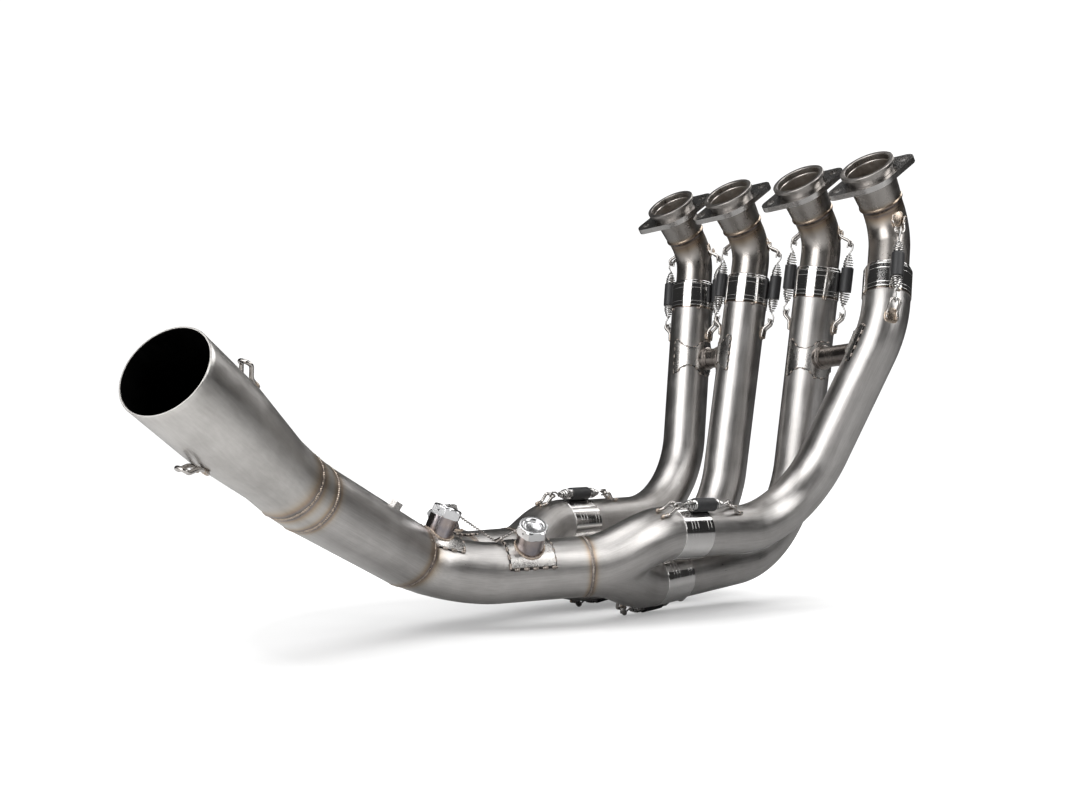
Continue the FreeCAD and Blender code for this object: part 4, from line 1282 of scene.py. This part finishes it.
def lockwire():
    """Twisted wire from the plug in the bend to the near plug, with a crimp on it."""
    sites = bung_sites()

    def flat_middle(k, towards):
        centre, heading, hint, _, radius = sites[k]
        _, out, _ = frame_of(heading, hint)
        middle = along(centre, out, radius + BUNG_HEIGHT + PLUG_HEIGHT / 2)
        away = towards - middle
        return along(middle, away - out * away.dot(out), PLUG_FLATS / 2)

    start = flat_middle(1, sites[0][0])
    end = flat_middle(0, sites[1][0])
    _, out, _ = frame_of(LEG_NEAR_DIR, CRIMP_OUT)
    rest = along(RING_NEAR, LEG_NEAR_DIR, LEG_NEAR_RUN + 3) + out * (MERGE_R + 1.5)
    mesh = grown(TENSION_SPRING, polylines([[(start, 0), (rest, 0)], [(rest, 0), (end, 0)]]), {
        "Coil radius": 0.65 * MM, "Tip radius": 0.65 * MM, "Taper": MM, "End gap": 0.0,
        "Pitch": 2.4 * MM, "Wire radius": 0.6 * MM, "Material": WIRE})
    piece("lockwire_looks", mesh, ["lockwire"], colour=WIRE)
    way = (end - rest).normalized()
    profile = rounded_profile([(0, 0.01, 0), (0, 1.7, 0.5), (7, 1.7, 0.5), (7, 0.01, 0)])
    piece("lockwire_crimp", turned(profile, rest, way, out, 24), [], colour=WIRE)


def balance_rings():
    """Stepped collar at each end of a balance tube."""
    meshes = bmesh.new()
    for left in (0, 2):
        start, _ = balance_spot(left)
        end, _ = balance_spot(left + 1)
        way = (end - start).normalized()
        for spot, heading in ((start, way), (end, -way)):
            profile = rounded_profile([
                (0, BALANCE_R + 0.05, 0), (0, 12.4, 0.3), (5.0, 12.4, 0.5), (5.6, 11.4, 0.3),
                (7.6, 11.4, 0.5), (7.8, BALANCE_R + 0.05, 0)])
            base = along(spot, heading, PRIMARY_R - 1.0)
            meshes.from_mesh(turned(profile, base, heading, V(0, 0, 1), 64))
    mesh = bpy.data.meshes.new("rings")
    meshes.to_mesh(mesh)
    meshes.free()
    piece("balance_rings", mesh, [], colour=TUBE_DARK)


def outlet_loops():
    line = [TAIL_BEND, OUTLET]
    runs = []
    _, spread, _ = frame_of(MEGAPHONE_DIR, LOOP_OUT)
    for way in (1, -1):
        out = spread * way
        eye = along(OUTLET, MEGAPHONE_DIR, -LOOP_FROM_RIM) + out * (MEGAPHONE_R + LOOP_STAND)
        runs.append(bracket_run(eye, MEGAPHONE_DIR, out, line, MEGAPHONE_R, -1))
    bar("outlet_loops_looks", runs, BAR_R, ["outlet_loops"], WIRE, sides=16, steps=8,
        caps=True)
    weld_line("loop_welds", foot_runs(runs), 1.8, 1.0, TAN_WELD)


for n in range(4):
    head_pipe(n)
    slip_sleeve(n)
    primary(n)
    lower_sleeve(n)
collector("collector_far", 0, 1, RING_FAR, LEG_FAR_DIR)
collector("collector_near", 3, 2, RING_NEAR, LEG_NEAR_DIR)
merge_pipe()
secondary_pipe()
tail()
spring_sets()
ring_welds()
saddle_seams()
plate_seams()
plugs()
lockwire()
balance_rings()
outlet_loops()

# Finishes of the pieces that keep their CAD shape
KEPT = {
    "port_flange": FLANGE, "balance_tube": TUBE_DARK, "balance_saddle": SHEET, "sensor_bung": NECK,
    "bung_plate": SHEET, "tail_tab": SHEET}
for label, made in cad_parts.items():
    for start, colour in KEPT.items():
        if label.startswith(start):
            for place in made.material_slots:
                place.material = colour


# Camera, floor and light
FOCAL_PX = 1205.35
VIEW_TURN = math.radians(44.287)
VIEW_TILT = math.radians(3.306)
camera_data = bpy.data.cameras.new("camera")
camera_data.sensor_width = 36.0
camera_data.lens = FOCAL_PX * camera_data.sensor_width / 1068
camera = bpy.data.objects.new("camera", camera_data)
camera.location = (0.8090, -1.0438, -0.2923)
camera.rotation_euler = (math.pi / 2 + VIEW_TILT, 0, VIEW_TURN)
scene.collection.objects.link(camera)
scene.camera = camera

MIDDLE = V(0.12, -0.30, -0.20)
TO_VIEWER = V(math.sin(VIEW_TURN), -math.cos(VIEW_TURN), 0)
TO_RIGHT = V(math.cos(VIEW_TURN), math.sin(VIEW_TURN), 0)


def softbox(name, turn, lift, distance, width, height, power, tone=(1, 1, 1)):
    """Area light that faces the part. The turn is to the right of the viewer, in degrees."""
    side = math.radians(turn)
    up = math.radians(lift)
    way = (TO_VIEWER * math.cos(side) + TO_RIGHT * math.sin(side)) * math.cos(up) + V(0, 0, math.sin(up))
    data = bpy.data.lights.new(name, "AREA")
    data.shape = "RECTANGLE"
    data.size = width
    data.size_y = height
    data.energy = power
    data.color = tone
    lamp = bpy.data.objects.new(name, data)
    lamp.location = MIDDLE + way * distance
    lamp.rotation_euler = way.to_track_quat("Z", "Y").to_euler()
    scene.collection.objects.link(lamp)


softbox("left_box", -42, 24, 2.2, 1.7, 2.3, 52)
softbox("right_box", 57, 34, 2.2, 0.9, 1.9, 26)
softbox("top_box", -60, 84, 1.9, 1.5, 1.3, 20)
softbox("back_box", 125, 40, 2.2, 1.5, 1.0, 20)


def floor():
    mesh = bpy.data.meshes.new("floor")
    low = cad_box[0][2] - 0.0005
    span = 6.0
    mesh.from_pydata([(-span, -span, low), (span, -span, low), (span, span, low), (-span, span, low)],
                     [], [(0, 1, 2, 3)])
    made = bpy.data.objects.new("floor", mesh)
    scene.collection.objects.link(made)
    colour = bpy.data.materials.new("pale_floor")
    colour.use_nodes = True
    tree = colour.node_tree
    shader = tree.nodes["Principled BSDF"]
    shader.inputs["Roughness"].default_value = 0.25
    shader.inputs["Specular IOR Level"].default_value = 0.25
    place = node(tree, "ShaderNodeTexCoord").outputs["Object"]
    away = vcalc(tree, "SUBTRACT", place, tuple(MIDDLE))
    parts = node(tree, "ShaderNodeSeparateXYZ", {0: away}).outputs
    reach = calc(tree, "SQRT", calc(tree, "ADD", calc(tree, "MULTIPLY", parts[0], parts[0]),
                                    calc(tree, "MULTIPLY", parts[1], parts[1])))
    fade = node(tree, "ShaderNodeMapRange", {0: reach, 1: 0.25, 2: 0.7, 3: 0.0, 4: 1.0}).outputs[0]
    seen = node(tree, "ShaderNodeLightPath").outputs["Is Camera Ray"]
    # Seen in reflections, the floor is painted light in front of the part and dark behind it: painted light
    # and shade. The camera sees it evenly pale.
    lit = node(tree, "ShaderNodeMapRange", {0: parts[1], 1: -0.4, 2: 0.05, 3: 0.95, 4: 0.42}).outputs[0]
    level = node(tree, "ShaderNodeMix", {0: seen, 2: lit, 3: 0.9}).outputs[0]
    pale = node(tree, "ShaderNodeCombineXYZ", {0: level, 1: level, 2: level}).outputs[0]
    tree.links.new(pale, shader.inputs["Base Color"])
    glow = node(tree, "ShaderNodeEmission", {"Strength": calc(
        tree, "MULTIPLY", seen, calc(tree, "ADD", calc(tree, "MULTIPLY", fade, 1.0), 0.28))})
    total = node(tree, "ShaderNodeAddShader", {0: shader.outputs[0], 1: glow.outputs[0]})
    out = tree.nodes["Material Output"]
    tree.links.new(total.outputs[0], out.inputs["Surface"])
    mesh.materials.append(colour)


def room():
    world = bpy.data.worlds.new("studio")
    scene.world = world
    world.use_nodes = True
    tree = world.node_tree
    back = tree.nodes["Background"]
    seen = node(tree, "ShaderNodeLightPath").outputs["Is Camera Ray"]
    level = node(tree, "ShaderNodeMapRange", {0: seen, 3: 0.035, 4: 1.1}).outputs[0]
    back.inputs["Color"].default_value = (1, 1, 1, 1)
    tree.links.new(level, back.inputs["Strength"])


floor()
room()
scene.view_settings.view_transform = "Standard"

bpy.context.view_layer.update()
